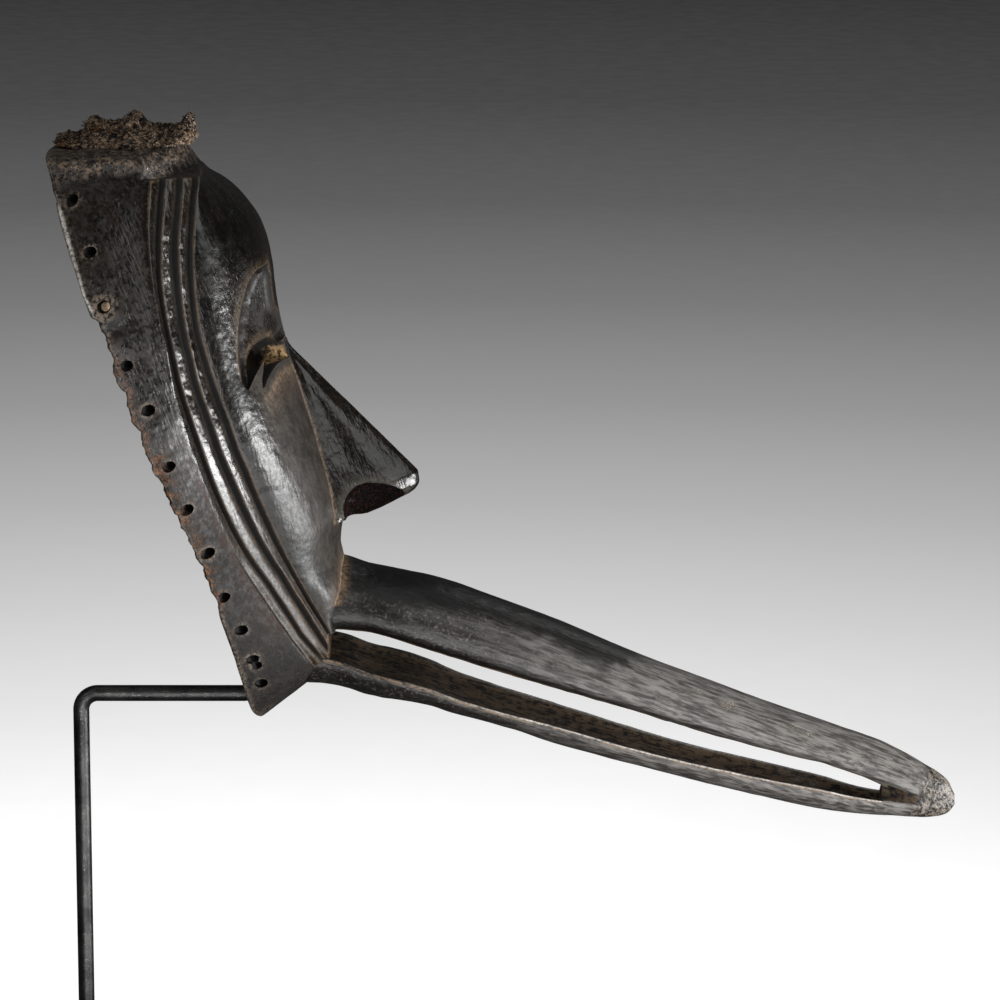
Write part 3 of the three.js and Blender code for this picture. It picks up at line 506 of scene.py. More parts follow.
# ------------------------------------------------------------------ the nose
def nose_solid():
    us = np.concatenate([np.linspace(NOSE["top"], -50, 44), np.linspace(-51, NOSE["bottom"] - 0.5, 18)])
    rings = []
    for u in us:
        ridge = min(NOSE["bridge"] + NOSE["pitch"] * (11.6 - u), 88.9)
        if u < -53:
            ridge = float(along([-62.6, -62.1, -61.2, -60.4, -59.8, -58.6, -56.9, -53], [64, 69, 75, 79.5, 83.6, 86.4, 88.0, 88.9], u))
        t = (NOSE["top"] - u) / (NOSE["top"] - NOSE["bottom"])
        foot, back = 6.2 + 12.3 * t, 1.6 + 1.8 * t
        flare = 0.9 * (1 - float(smooth(-56, -30, u)))
        base = 56.6 - 2.6 * (1 - float(smooth(-62, -53, u)))
        key = [(foot + 0.9, base - 2.6), (foot, base), (foot * 0.72 + flare, base + 0.33 * (ridge - base)),
               (foot * 0.42 + back * 0.5, base + 0.68 * (ridge - base)), (back, ridge - 1.3), (back * 0.45, ridge - 0.25), (0, ridge)]
        line = curve_through(key, 5)
        seg = np.concatenate([[0], np.cumsum(np.hypot(*np.diff(line, axis=0).T))])
        q = np.linspace(0, seg[-1], 30)
        down = np.array([0, 0.2, 0.4, 0.6, 0.8])
        y = np.concatenate([0 * down + foot + 0.9, np.interp(q, seg, line[:, 0])])
        n = np.concatenate([NOSE["root"] + (base - 2.6 - NOSE["root"]) * down, np.interp(q, seg, line[:, 1])])
        wob = 0.22 * noise1(u / 9.0, 61)
        # the wings end a little higher than the wall between the nostrils
        uu = u + 0.22 * np.clip(y - 3, 0, None) * (1 - float(smooth(-62, -50, u)))
        r = face_to_part(n, uu, -(y + wob * (y > 3)))
        l = face_to_part(n, uu, y - 0.6 * wob * (y > 3))[:-1][::-1]
        rings.append(np.vstack([r, l]))
    return loft("nose", rings)


def prism(outline, y0, y1, steps=1, swell=None):
    """An outline (n, u) drawn in profile and pulled across from y0 to y1."""
    o = np.asarray(outline, float)
    rings = []
    for k in range(steps + 1):
        y = y0 + (y1 - y0) * k / steps
        q = o if swell is None else swell(o, k / steps)
        rings.append(face_to_part(q[:, 0], q[:, 1], y))
    return rings


def flat_solid(name, rings):
    """Like loft, but its ends are single flat faces, for outlines of any shape."""
    rings = np.asarray(rings, float)
    rows, cols = rings.shape[:2]
    faces = [tuple(f) for f in loft_faces(rows, cols)]
    faces.append(tuple(range(cols - 1, -1, -1)))
    faces.append(tuple((rows - 1) * cols + i for i in range(cols)))
    return new_mesh(name, rings.reshape(-1, 3), faces)


# ------------------------------------------------------------------ the beak
UPPER = [(0.84, 0), (0.97, 0.12), (1, 0.28), (0.94, 0.5), (0.79, 0.71), (0.54, 0.89), (0.26, 0.975), (0, 1)]
LOWER = [(1, 0.16), (0.96, 0.42), (0.84, 0.66), (0.6, 0.87), (0.3, 0.975), (0, 1)]


def even(points, count):
    """The same line with count evenly spaced points."""
    line = curve_through(points, 8)
    d = np.concatenate([[0], np.cumsum(np.hypot(*np.diff(line, axis=0).T))])
    q = np.linspace(0, d[-1], count)
    return np.stack([np.interp(q, d, line[:, 0]), np.interp(q, d, line[:, 1])], -1)


def beak_ring(x, half, joined):
    h = np.asarray(half, float)
    r = np.stack([0 * h[:, 0] + x + AXIS_X, -h[:, 0], h[:, 1] + AXIS_Z], -1)
    l = np.stack([0 * h[:, 0] + x + AXIS_X, h[:, 0], h[:, 1] + AXIS_Z], -1)
    l = l[(1 if joined else 0):-1][::-1]
    return np.vstack([r, l])


def root_flare(x):
    """The carver left a small hollow fillet where the beak leaves the face."""
    return 2.6 * (1 - float(smooth(-66, -52, x)))


def beak_solids():
    x = np.concatenate([np.arange(-78, 148.5, 1.9), [149.3, 150.4, TIP_X + 2]])
    upper, lower = [], []
    for q in x:
        top, lip, rim, keel, w = (float(beak_at(k, q)) for k in ("top", "lip", "rim", "keel", "half"))
        w2 = w + 0.4 * root_flare(q) - 2.6 * (1 - float(smooth(-68, -34, q)))
        wav = 0.10 * noise1(q / 13.0, 91)
        up = [((a + (0.012 * noise1(q / 9.0 + 3 * k, 92) if 0 < k < 7 else 0)) * w2 if a > 0 else 0, lip + b * (top - lip) + (wav if b > 0.9 else 0)) for k, (a, b) in enumerate(UPPER)]
        lip_wav = 0.25 * noise1(q / 7.0, 93) + 0.12 * noise1(q / 2.9, 94)
        up[0] = (up[0][0], up[0][1] + lip_wav)
        under = [(0, lip + 1.5), (0.5 * w2, lip + 1.2), (0.72 * w2, lip + 0.45 + lip_wav), up[0]]
        upper.append(beak_ring(q, np.vstack([even(under, 7)[:-1], even(up, 30)]), True))
        w2 = w - 4.6 * (1 - float(smooth(-72, -36, q)))
        d = rim - keel
        dish = min(5.6, 0.46 * d) * (1 - float(smooth(150, 164, q)))
        edge = min(1.15, 0.16 * w2)
        t = np.linspace(0, 1, 15)
        rim_wav = 0.16 * noise1(q / 6.0, 95)
        inner = np.stack([t * (w2 - edge), rim - dish * np.cos(0.5 * math.pi * t) ** 0.85 + 0.22 * dish * np.exp(-((t - 0.42) / 0.1) ** 2) * 0.4], -1)
        inner = np.vstack([inner[:-1], [(w2 - edge, rim - 0.1 + rim_wav), (w2 - 0.6 * edge, rim + 0.05 + rim_wav), (w2 - 0.2 * edge, rim - 0.1 + rim_wav)]])
        keel_wav = 0.35 * noise1(q / 5.0, 96) * (1 - float(smooth(-60, -20, q))) + 0.12 * noise1(q / 11.0, 97)
        outer = [(w2 - 0.02, rim - 0.6)] + [(a * w2, rim - b * d + (keel_wav if b > 0.8 else 0)) for a, b in LOWER]
        lower.append(beak_ring(q, np.vstack([inner, even(outer, 24)]), True))
    xt = np.concatenate([np.arange(TIP_X, 176, 1.0), [176.6, 177.6, 178.4, 179.1, 179.6]])
    tip = []
    for q in xt:
        top, lip, rim, keel, w = (float(beak_at(k, q)) for k in ("top", "lip", "rim", "keel", "half"))
        # the gap's ends run on as a closing groove along both flanks
        cut = 1 - float(smooth(151, 164.5, q))
        mid = 0.35 * lip + 0.65 * rim
        rough = 0.25 * float(smooth(163, 168, q))
        line = [(a * w, lip + b * (top - lip)) for a, b in UPPER[2:][::-1]]
        line += [((1 - 0.10 * cut) * w, lip + 0.08 * (top - lip)), ((1 - 0.55 * cut) * w, lip), ((1 - 0.72 * cut) * w, mid), ((1 - 0.30 * cut) * w, rim - 0.35 * cut), ((1 - 0.03 * cut) * w, rim)]
        line += [(a * w, rim - b * (rim - keel)) for a, b in LOWER]
        line = np.array(line)
        tip.append(beak_ring(q, even(line, 46), True))
    return loft("upper_beak", upper), loft("lower_beak", lower), loft("beak_tip", tip)


# ------------------------------------------------------------------ carve the mask
def lid_sheets(side):
    rows = []
    for u in np.linspace(4, 50, 24):
        ridge = float(along([4, 16, 26, 34, 44, 50], [56.6, 57.2, 58.1, 59.6, 62.2, 64], u))
        drop = 3.4 * float(smooth(2, 22, u)) * (1 - float(smooth(36, 50, u)))
        e, f = face_to_part(12, u, side * 58), face_to_part(12, u, 0)
        keep = float(smooth(22, 30, u))
        flat = np.array([[0, ridge + 2.2 * keep], [7.5, ridge - 3.0 + 3.9 * keep], [13.5, ridge - 5.4 + 1.7 * keep], [21, ridge - 8.2 - 0.35 * drop], [44.5, 39.4 - drop], [58, 27.5 - drop]])
        line = curve_through(flat, 7)
        ring = [face_to_part(n, u, side * y) for y, n in line] + [e, f]
        rows.append(np.array(ring))
    return flat_solid("lid_%s" % ("l" if side > 0 else "r"), rows)


def smooth_outline(points, per=4, closed=True):
    return curve_through(points, per, closed)


mask = face_skin()
upper, lower, tip = beak_solids()
combine(mask, upper, "UNION", 2, 101)
combine(mask, lower, "UNION", 3, 102)
combine(mask, tip, "UNION", 4, 103)

mouth = []
for q in np.linspace(-66.8, -42, 14):
    lip, rim, keel, w = (float(beak_at(k, q)) for k in ("lip", "rim", "keel", "half"))
    w_up = w + 0.4 * root_flare(q) - 2.6 * (1 - float(smooth(-68, -34, q)))
    w_low = w - 4.6 * (1 - float(smooth(-72, -36, q)))
    edge = min(1.15, 0.16 * w_low)
    dish = min(5.6, 0.46 * (rim - keel))
    t = np.linspace(0, 1, 12)
    low_line = np.stack([t * (w_low - edge), rim + 0.06 - dish * np.cos(0.5 * math.pi * t) ** 0.85 + 0.22 * dish * np.exp(-((t - 0.42) / 0.1) ** 2) * 0.4], -1)
    low_line = np.vstack([low_line[:-1], [(w_low - edge, rim + 0.32), (w_low + 0.4, rim + 0.36), (32, rim + 0.36), (32, lip - 0.4), (0.9 * w_up, lip - 0.4), (0.72 * w_up, lip - 0.1), (0.4 * w_up, lip + 0.9)], [(0, lip + 1.2)]])
    mouth.append(beak_ring(q, low_line, True))
combine(mask, loft("mouth", mouth), "DIFFERENCE", 12, 118)

brow_line = curve_through(BROW, 5)
lid_line = np.vstack([curve_through(LID[:5], 4), np.array(LID[5:], float)])
over_outline = np.vstack([brow_line, lid_line])
for side in (-1, 1):
    rings = prism(over_outline, -60 if side < 0 else 0.01, -0.01 if side < 0 else 60, 1)
    over = flat_solid("over", rings)
    combine(over, lid_sheets(side), "DIFFERENCE", 5, 110)
    part = field(over.data, "part")
    # the sheet's face becomes the lid; the prism's wall becomes the brow's edge
    put_field(over.data, "part", np.where(part == 5, 5, 6))
    combine(mask, over, "DIFFERENCE", 5, 111)

eye_line = curve_through(EYE[:10], 5)
eye_low = curve_through(EYE[10:], 5)
eye_outline = np.vstack([eye_line, eye_low])
eye_outline[:, 0] = 7.2 + (eye_outline[:, 0] - 7.2) * 0.87
for side in (-1, 1):
    rings = []
    for k in range(13):
        n = 24 + 52 * k / 12
        o = eye_outline.copy()
        rings.append(face_to_part(n, o[:, 1], side * o[:, 0]))
    combine(mask, flat_solid("eye", rings), "DIFFERENCE", 7, 112)

nose = nose_solid()
put_field(nose.data, "part", np.full(len(nose.data.vertices), 8))
nostril_line = np.vstack([curve_through(NOSTRIL[:10], 4), np.array(NOSTRIL[10:], float)])
for side in (-1, 1):
    rings = []
    for y, share in ((1.6, 0.21), (2.6, 0.28), (3.8, 0.37), (5.2, 0.475), (6.8, 0.60), (8.4, 0.72), (10, 0.845), (11.6, 0.95), (13, 1.0), (20, 1.015), (30, 1.03)):
        o = nostril_line.copy()
        o[:, 1] = -66 + (o[:, 1] + 66) * share
        o[:, 0] = 73 + (o[:, 0] - 73) * (0.90 + 0.10 * share)
        rings.append(face_to_part(o[:, 0], o[:, 1], side * y))
    combine(nose, flat_solid("nostril", rings), "DIFFERENCE", 9, 113)
combine(mask, nose, "UNION", 8, 114)
combine(mask, hollow_tool(), "DIFFERENCE", 10, 115)


def hole_axis(u, n, side):
    v = float(v_at(n, u))
    rim, l1 = (float(at("rimY", v)), float(at("rimN", v))), (float(at("y1", v)), float(at("n1", v)))
    t = (n - rim[1]) / (l1[1] - rim[1])
    y = rim[0] + (l1[0] - rim[0]) * t + 0.6
    low = 1 - float(smooth(-124, -112, v))
    out = np.array([l1[1] - rim[1], 0, rim[0] - l1[0]])
    out /= np.linalg.norm(out)
    zero = face_to_part(0, 0, 0)
    d = face_to_part(-0.34, -1.6 * low, side * 1.0) - zero
    return face_to_part(n, u, side * y), d / np.linalg.norm(d)


def wobble(a, b=0.0):
    return 0.5 * math.sin(a * 1.7 + b) + 0.3 * math.sin(a * 4.1 + 1.3 + 2 * b) + 0.2 * math.sin(a * 9.3 + 0.4 + b)


def hole_tool(centre, axis, radius, seed, stretch=1.0, turn=0.0):
    """A slightly flared, slightly uneven hole burnt through the flange."""
    axis = Vector(axis)
    e1 = axis.orthogonal().normalized()
    up = Vector((0, 0, 1))
    e1 = (up - axis * up.dot(axis)).normalized()
    e2 = axis.cross(e1)
    rings = []
    for s in [-13, -9, -6, -4, -2.6, -1.6, -0.8, -0.2, 0.3, 1.2, 6, 13]:
        flare = 0.24 * float(smooth(-1.9, 0.35, s)) - 0.1 * float(smooth(-3, -8, s))
        ring = []
        for k in range(22):
            a = 2 * math.pi * k / 22
            r = radius + flare + 0.16 * float(noise(np.array([math.cos(a) * 1.1 + seed, math.sin(a) * 1.1, s * 0.25]), 55))
            c, d = math.cos(a), math.sin(a)
            x = c * math.cos(turn) - d * math.sin(turn) * stretch
            z = c * math.sin(turn) + d * math.cos(turn) * stretch
            p = Vector(centre) + axis * s + e1 * (r * x) + e2 * (r * z)
            ring.append(p)
        rings.append(ring)
    return loft("hole", rings)


holes, extra = [], []
HOLE_PLACES = []
for side in (-1, 1):
    for i, (u, n) in enumerate(HOLES):
        shift = 1.4 * wobble(i * 1.9) if side > 0 else 0
        c, d = hole_axis(u + shift, n, side)
        small = i == len(HOLES) - 1
        r = HOLE_D / 2 * (0.6 if small else 1 if i == 2 else 0.89) * (1 + 0.05 * wobble(i * 2.3 + side))
        HOLE_PLACES.append((c, d, i, side))
        holes.append(hole_tool(c, d, r * (0.96 if i == 10 and side < 0 else 1), i * 3.1 + side, 1.35 if small else 1.0))
        if i == 10 and side < 0:
            c2, d2 = hole_axis(u - 3.1, n + 0.4, side)
            extra.append(hole_tool(c2, d2, r * 0.82, 70.0))
combine(mask, join_meshes("holes", holes), "DIFFERENCE", 11, 116)
combine(mask, join_meshes("holes_more", extra), "DIFFERENCE", 11, 117)
print("mask triangles", sum(len(p.vertices) - 2 for p in mask.data.polygons))


def topology(me):
    edges = np.empty(len(me.edges) * 2, np.int64)
    me.edges.foreach_get("vertices", edges)
    return edges.reshape(-1, 2)


def fill_unknown(values, known, edges, rounds=6):
    values, known = values.astype(float).copy(), known.copy()
    a, b = edges[:, 0], edges[:, 1]
    for _ in range(rounds):
        if known.all():
            break
        total, count = np.zeros(len(values)), np.zeros(len(values))
        for i, j in ((a, b), (b, a)):
            m = known[j] & ~known[i]
            np.add.at(total, i[m], values[j[m]])
            np.add.at(count, i[m], 1)
        new = count > 0
        values[new] = total[new] / count[new]
        known |= new
    return values, known


def spread(values, edges, rounds, keep=0.5):
    a, b = edges[:, 0], edges[:, 1]
    count = np.bincount(a, minlength=len(values)) + np.bincount(b, minlength=len(values))
    for _ in range(rounds):
        total = np.bincount(a, values[b], len(values)) + np.bincount(b, values[a], len(values))
        values = keep * values + (1 - keep) * total / np.maximum(count, 1)
    return values


def nearest(points, targets):
    """Distance from each point to the nearest target."""
    if len(targets) == 0:
        return np.full(len(points), 99.0)
    tree = KDTree(len(targets))
    for i, q in enumerate(targets):
        tree.insert(q, i)
    tree.balance()
    return np.array([tree.find(p)[2] for p in points])


me = mask.data
P = points_of(me)
edges = topology(me)
part = field(me, "part")
s_raw, v_raw = field(me, "s"), field(me, "v")
known = (part == 1)
s_f, ok = fill_unknown(s_raw - 10, known, edges, 4)
v_f, _ = fill_unknown(v_raw - 1000, known, edges, 4)
on_face = ok & ((part == 1) | (part > 100))
print("parts", {int(k): int((part == k).sum()) for k in np.unique(part)}, "points", len(P))

# ------------------------------------------------------------------ small unevenness
soft = np.stack([fractal(P / 13.0, 201, 2), fractal(P / 13.0, 202, 2), fractal(P / 13.0, 203, 2)], -1) * 0.22
fine = np.stack([fractal(P / 3.6, 211, 2), fractal(P / 3.6, 212, 2), fractal(P / 3.6, 213, 2)], -1) * 0.07
move = soft + fine
N = np.zeros_like(P)
normals = np.empty(len(me.vertices) * 3)
me.vertices.foreach_get("normal", normals)
N = normals.reshape(-1, 3)


def dent(centre, radius, depth, sharp=2.0, squash=(1, 1, 1)):
    d = np.linalg.norm((P - np.asarray(centre, float)) / np.asarray(squash, float), axis=1) / radius
    return -np.exp(-d ** sharp)[:, None] * depth * N


# knot, pit and scars on the beak's right flank, where the photograph shows them
move += dent((185, -11, 160.2), 2.6, 0.5, 4, (1.3, 1, 1)) - dent((185, -11, 160.2), 1.4, 0.45, 2)
move += dent((172, -10, 166), 1.0, 0.8)
for q in ((210, -10.5, 151), (214, -11, 149), (218, -11, 147)):
    move += dent(q, 1.5, 0.4, 2, (1.6, 1, 0.7))
for k, q in enumerate([(82, -11, 203), (90, -13, 199), (97, -14, 195), (104, -14, 192), (111, -17, 186), (118, -18, 181), (126, -16, 179), (134, -15, 178), (141, -15, 175)]):
    move += dent(q, 1.7, 0.25 + 0.12 * (k % 3), 2, (2.4, 1, 0.8))
# holes left by insects, in the eaten stretch of the right rim
rng = np.random.RandomState(7)
EATEN = [(-33, -72, 268, 4.0), (-31, -71, 259, 4.5), (-29, -70, 253, 4.5), (-25, -68, 243, 5.5), (-22, -66, 235, 5.0), (-17, -62, 222, 5.0), (-14, -60, 214, 3.5)]
for ex, ey, ez, er in EATEN:
    for _ in range(9):
        c = np.array([ex, ey, ez]) + rng.normal(0, 1, 3) * np.array([er * 0.32, 1.0, er * 0.55])
        move += dent(c, 0.9 + 0.8 * rng.rand(), 0.35 + 0.6 * rng.rand(), 3)
near_l1 = np.exp(-(np.where(s_f < 1, (s_f - 1) * 27, (s_f - 1) * 6) / 2.4) ** 2) * (part == 1) * smooth(-60, -20, v_f) * (1 - smooth(84, 98, v_f))
near_all = 0.55 * np.exp(-((s_f - np.round(np.clip(s_f, 1, 4))) * 6 / 0.8) ** 2) * (part == 1) * (s_f < 4.2) * (v_f < 100)
rounding = np.clip(np.maximum(near_l1, near_all), 0, 1)[:, None]
faired = P.copy()
for k in range(3):
    faired[:, k] = spread(P[:, k], edges, 7, 0.45)
move += (faired - P) * rounding
d_wall = nearest(P, P[part == 6])
move -= (2.7 * (part == 5) * np.exp(-((d_wall - 1.1) / 1.25) ** 2) * (part_to_face(P)[1] > 15))[:, None] * N
lump_zone = on_face * smooth(105.6, 110.5, v_f + 3.0 * fractal(P / 5.0, 651, 2)) * (1 - smooth(4.1, 4.5, s_f)) * smooth(0.0, 0.2, s_f)
lumps = np.clip(fractal(P / 2.6, 655, 3, 0.6) * 1.7 + 0.15, 0, 1)
move += (lump_zone * (1.15 * lumps + 0.1))[:, None] * N
P2 = P + move
me.vertices.foreach_set("co", (P2 * MM).reshape(-1))
me.update()

# ------------------------------------------------------------------ fields for the finish
seam = lambda *codes: P[np.isin(part, codes)]
d_beak = nearest(P, seam(101, 102))
d_nose = nearest(P, seam(114))
d_brow = nearest(P, seam(111))
d_eye = nearest(P, seam(112))
d_holes = nearest(P, seam(116, 117))
d_rim = nearest(P, seam(115))
d_under = nearest(P, P[(part == 6) | (part == 111)])
n_f, u_f, y_f = part_to_face(P)
ay = np.abs(y_f)
face_like = on_face.astype(float)
width = np.hypot(at("y1", v_f) - at("y4", v_f), at("n4", v_f) - at("n1", v_f)) / 3
flange_w = np.hypot(at("rimY", v_f) - at("y1", v_f), at("n1", v_f) - at("rimN", v_f))
near = np.round(np.clip(s_f, 1, 4))
d_crest = np.where((s_f >= 1) & (s_f < 4), (s_f - near) * width, 99.0)
d_crest = np.where((s_f < 1) & (s_f > 0.4), (s_f - 1) * flange_w, d_crest)
d_crest = np.where(s_f >= 4, (s_f - 4) * 40.0, d_crest)
ribbed = face_like * (v_f < RIBS_V + 0.2)
crest = ribbed * np.exp(-(d_crest / 0.34) ** 2)
t_f = s_f - np.floor(s_f)
in_flutes = ribbed * (s_f > 1) * (s_f < 4)
groove = in_flutes * np.exp(-((t_f - 0.80) * width / 0.95) ** 2)
flat_tan = in_flutes * np.exp(-((t_f - 0.56) * width / 0.9) ** 2)
bead = in_flutes * smooth(0.0, 0.06, t_f) * (1 - smooth(0.40, 0.58, t_f))


def hollowness(rounds):
    """How far each point lies below (+) or above (-) the mean of its surroundings."""
    q = P2.copy()
    for k in range(3):
        q[:, k] = spread(q[:, k], edges, rounds, 0.4)
    return np.einsum("ij,ij->i", q - P2, N)


hollow_small = hollowness(3)
hollow_wide = hollowness(14)

inner = ((part == 10) | (part == 115)).astype(float)
lid = np.isin(part, [5]).astype(float)
brow_wall = np.isin(part, [6]).astype(float)
in_eye = np.isin(part, [7]).astype(float)
in_hole = np.isin(part, [11]).astype(float)
in_nostril = np.isin(part, [9, 113]).astype(float)
on_nose = np.isin(part, [8]).astype(float)
on_beak = np.isin(part, [2, 3, 4, 103]).astype(float)
beak_x = P[:, 0] - AXIS_X
beak_z = P[:, 2] - AXIS_Z
b_top, b_lip, b_rim, b_keel = (beak_at(k, beak_x) for k in ("top", "lip", "rim", "keel"))
share_up = (beak_z - b_lip) / (b_top - b_lip)
in_gap = on_beak * (((part == 2) & (share_up < 0.02) & (N[:, 2] < 0)) | ((part == 3) & (N[:, 2] > 0.15) & (beak_z < b_rim - 0.25))).astype(float)
closing = (part == 4) * (beak_x < 164.5) * (beak_z < b_lip + 0.4) * (beak_z > b_rim + 0.1)
in_gap = np.maximum(in_gap, closing)
in_gap = np.maximum(in_gap, np.isin(part, [12, 118]) * 1.0)
front = np.maximum(face_like * (s_f > 4.0), 0)

low_noise = 0.5 + 0.5 * fractal(P / 9.0, 601, 3)
# tan dust: crest lines, the step at the ribs' tops, creases and a soft halo over the brow
dust = 0.36 * crest * (1 - 0.85 * near_l1) * smooth(-124, -116, v_f) * np.clip(0.25 + 1.3 * low_noise, 0, 1.1)
dust = np.maximum(dust, flat_tan * (0.10 + 0.34 * (1 - smooth(-60, 10, v_f))) * low_noise * 1.5)
dust = np.maximum(dust, 0.5 * np.exp(-((v_f - 104.3) / 0.8) ** 2) * face_like * (s_f > 1.0) * (s_f < 4.2) * low_noise * 0.9)
dust = np.maximum(dust, np.exp(-(d_nose / 0.55) ** 2) * (0.25 + 0.75 * low_noise) * (u_f < 8))
dust = np.maximum(dust, 0.95 * np.exp(-(d_beak / 1.5) ** 2) * (v_f > -100) * (beak_z > -62))
dust = np.maximum(dust, 0.34 * np.exp(-(d_beak / 5.0) ** 2) * (v_f > -100) * (beak_z > -60) * low_noise * 1.4)
dust = np.maximum(dust, 0.30 * np.exp(-(d_brow / 0.7) ** 2) * (u_f > 12))
dust = np.maximum(dust, 0.26 * np.exp(-(d_brow / 2.6) ** 2) * front * (u_f > 26) * low_noise * 1.6)
dust = np.maximum(dust, 0.42 * np.exp(-((d_eye - 1.2) / 1.1) ** 2) * (u_f > 8) * (ay < 44) * lid)
dust = np.maximum(dust, 0.50 * np.exp(-((d_eye - 4.6) / 1.9) ** 2) * (u_f < 8) * front * (ay < 42) * (0.4 + 0.9 * low_noise))
dust = np.maximum(dust, 0.20 * np.exp(-((d_eye - 6.0) / 6.0) ** 2) * (u_f < 6) * front * (ay < 42))
# the slit's inner end, where raw wood shows
raw_top = np.minimum(13.9 - 0.55 * (n_f - 51), 7.0 + 1.17 * (n_f - 44.5))
raw_eye = np.isin(part, [7, 8, 112, 114, 115]) * 1.0 * (ay < 10.6) * (1 - smooth(raw_top - 0.7, raw_top + 0.3, u_f)) * smooth(4.2, 6.0, u_f) * (n_f < 55.9) * (n_f > 42)
dust *= 1 - inner
dust *= 1 - 0.75 * in_eye * (1 - raw_eye)

# painted shade: near-black where shadow falls, in the flutes' grooves, the nostrils, the holes, the eye slits and the
# nose wall seen through them, under the brow, along the eye's lower edge and in small hollows
painted_shade_and_cracks = 0.95 * groove
painted_shade_and_cracks = np.maximum(painted_shade_and_cracks, in_nostril)
painted_shade_and_cracks = np.maximum(painted_shade_and_cracks, brow_wall * 0.8)
painted_shade_and_cracks = np.maximum(painted_shade_and_cracks, lid * np.exp(-(d_under / 3.6) ** 3) * (u_f > 13) * (1 - smooth(43.5, 46, u_f) * 0.5))
d_mouth = nearest(P, P[part == 116]) * in_hole
painted_shade_and_cracks = np.maximum(painted_shade_and_cracks, in_hole * smooth(0.6, 2.6, d_mouth))
painted_shade_and_cracks = np.maximum(painted_shade_and_cracks, in_eye * (1 - raw_eye) * 0.9)
painted_shade_and_cracks = np.maximum(painted_shade_and_cracks, 0.9 * np.exp(-(np.hypot(n_f - 55.5, u_f - 16.2) / 1.9) ** 2) * (ay < 13))
painted_shade_and_cracks = np.maximum(painted_shade_and_cracks, np.isin(part, [8, 114]) * (ay < 10.6) * (n_f > 42) * (n_f < 57) * (u_f < 17.5) * (u_f > 4.5) * (1 - raw_eye))
painted_shade_and_cracks = np.maximum(painted_shade_and_cracks, (0.65 + 0.3 * (ay > 28)) * np.exp(-((d_eye - 0.9) / 1.25) ** 2) * (u_f < 8.5) * front * (ay < 40))
painted_shade_and_cracks = np.maximum(painted_shade_and_cracks, 0.7 * smooth(0.25, 0.8, hollow_small) * (1 - inner) * (1 - on_beak))
# painted shade on the upper beak: its upward-facing top is painted near-black above a wavy line along the flank, and
# its root next to the face painted darker
top_shade_line = np.interp(beak_x, [-62, -46, -35, -23, -12, 0, 12, 23, 35, 43, 53, 62], [0.60, 0.64, 0.66, 0.68, 0.78, 0.85, 0.79, 0.74, 0.61, 0.69, 0.93, 1.2])
painted_top_shade = (part == 2) * smooth(-0.11, 0.09, share_up - top_shade_line + 0.12 * fractal(P / 3.5, 641, 2))
painted_root_shade = (part == 2) * (1 - smooth(-58, -26, beak_x)) * 0.55
# painted shade along the upper beak's rolled-under lower lip, which faces down; weaker toward the tip
lip_painted_shade = on_beak * (part == 2) * (1 - smooth(0.05, 0.17, share_up)) * (1 - smooth(40, 110, beak_x) * 0.55)
forehead = front * smooth(12, 44, v_f) * smooth(3, 15, d_brow) * (1 - 0.75 * (1 - smooth(6, 20, ay)))
# a worn pale edge along the rim's upper stretch on the negative-y side, painted near-white as a highlight where it
# catches light
edge_wear_and_highlight = 0.6 * np.exp(-((s_f - 0.004) / 0.016) ** 2) * face_like * (y_f < 0) * smooth(53, 57, v_f) * (1 - smooth(92, 100, v_f)) * (0.35 + 0.8 * low_noise)
worn = 0.95 * np.exp(-((s_f + 0.01) * 22 / 1.1) ** 2) * face_like * (s_f < 0.3) * (0.35 + 0.75 * low_noise)
worn = np.maximum(worn, 0.75 * np.exp(-((d_holes - 0.2) / 0.9) ** 2) * (1 - in_hole) * (1 - inner) * low_noise * 1.5)
worn = np.maximum(worn, 0.35 * smooth(0.15, 0.5, -hollow_small) * (1 - inner) * (1 - in_flutes) * (1 - on_nose))
flange = face_like * (1 - smooth(0.93, 0.99, s_f)) * (s_f > -0.3)
rust_band = flange * smooth(0.62, 0.95, s_f) * (1 - smooth(-30, 20, v_f)) * smooth(-110, -80, v_f)
crusty = (face_like > 0) * smooth(104.5, 111.5, v_f + 3.5 * fractal(P / 4.0, 651, 3) + 2.0 * (s_f < 0.5)) * (1 - inner)
eaten = np.zeros(len(P))
for ex, ey, ez, er in EATEN:
    d = np.linalg.norm((P - np.array([ex, ey, ez])) / np.array([0.75, 3, 1.25]), axis=1) / er
    eaten = np.maximum(eaten, np.exp(-d ** 2))
eaten = np.maximum(eaten, 0.55 * (y_f < 0) * flange * (1 - smooth(0.05, 0.22, s_f)) * (1 - smooth(30, 48, v_f)) * smooth(-76, -60, v_f))
eaten *= 1 - inner
cheek = front * np.exp(-((s_f - 4.17) / 0.17) ** 2) * smooth(-75, -30, v_f) * (1 - smooth(12, 34, v_f))
polish = np.clip(bead * (0.45 + 0.55 * smooth(-118, -60, v_f)) + cheek, 0, 1)
polish = np.maximum(polish, 0.8 * np.exp(-(d_crest / 1.2) ** 2) * ribbed * (s_f > 0.9) * (s_f < 1.25))
tip_rough = on_beak * smooth(165.5, 168.5, beak_x + 2.0 * fractal(P / 3.0, 661, 2) - 0.35 * (beak_z + 112))
flank = on_beak * (1 - in_gap) * (1 - tip_rough)
spots = np.zeros(len(P))
for q, r in (((208, 10, 129), 2.6), ((213, 8, 126), 2.8), ((219, 6, 124), 2.2), ((185, -11, 160.4), 2.4), ((172, -10, 166), 1.2), ((210, -10, 151), 1.2), ((216, -11, 148), 1.5), ((262, -4, 126), 2.5)):
    spots = np.maximum(spots, np.exp(-(np.linalg.norm(P - np.array(q, float), axis=1) / r) ** 2))
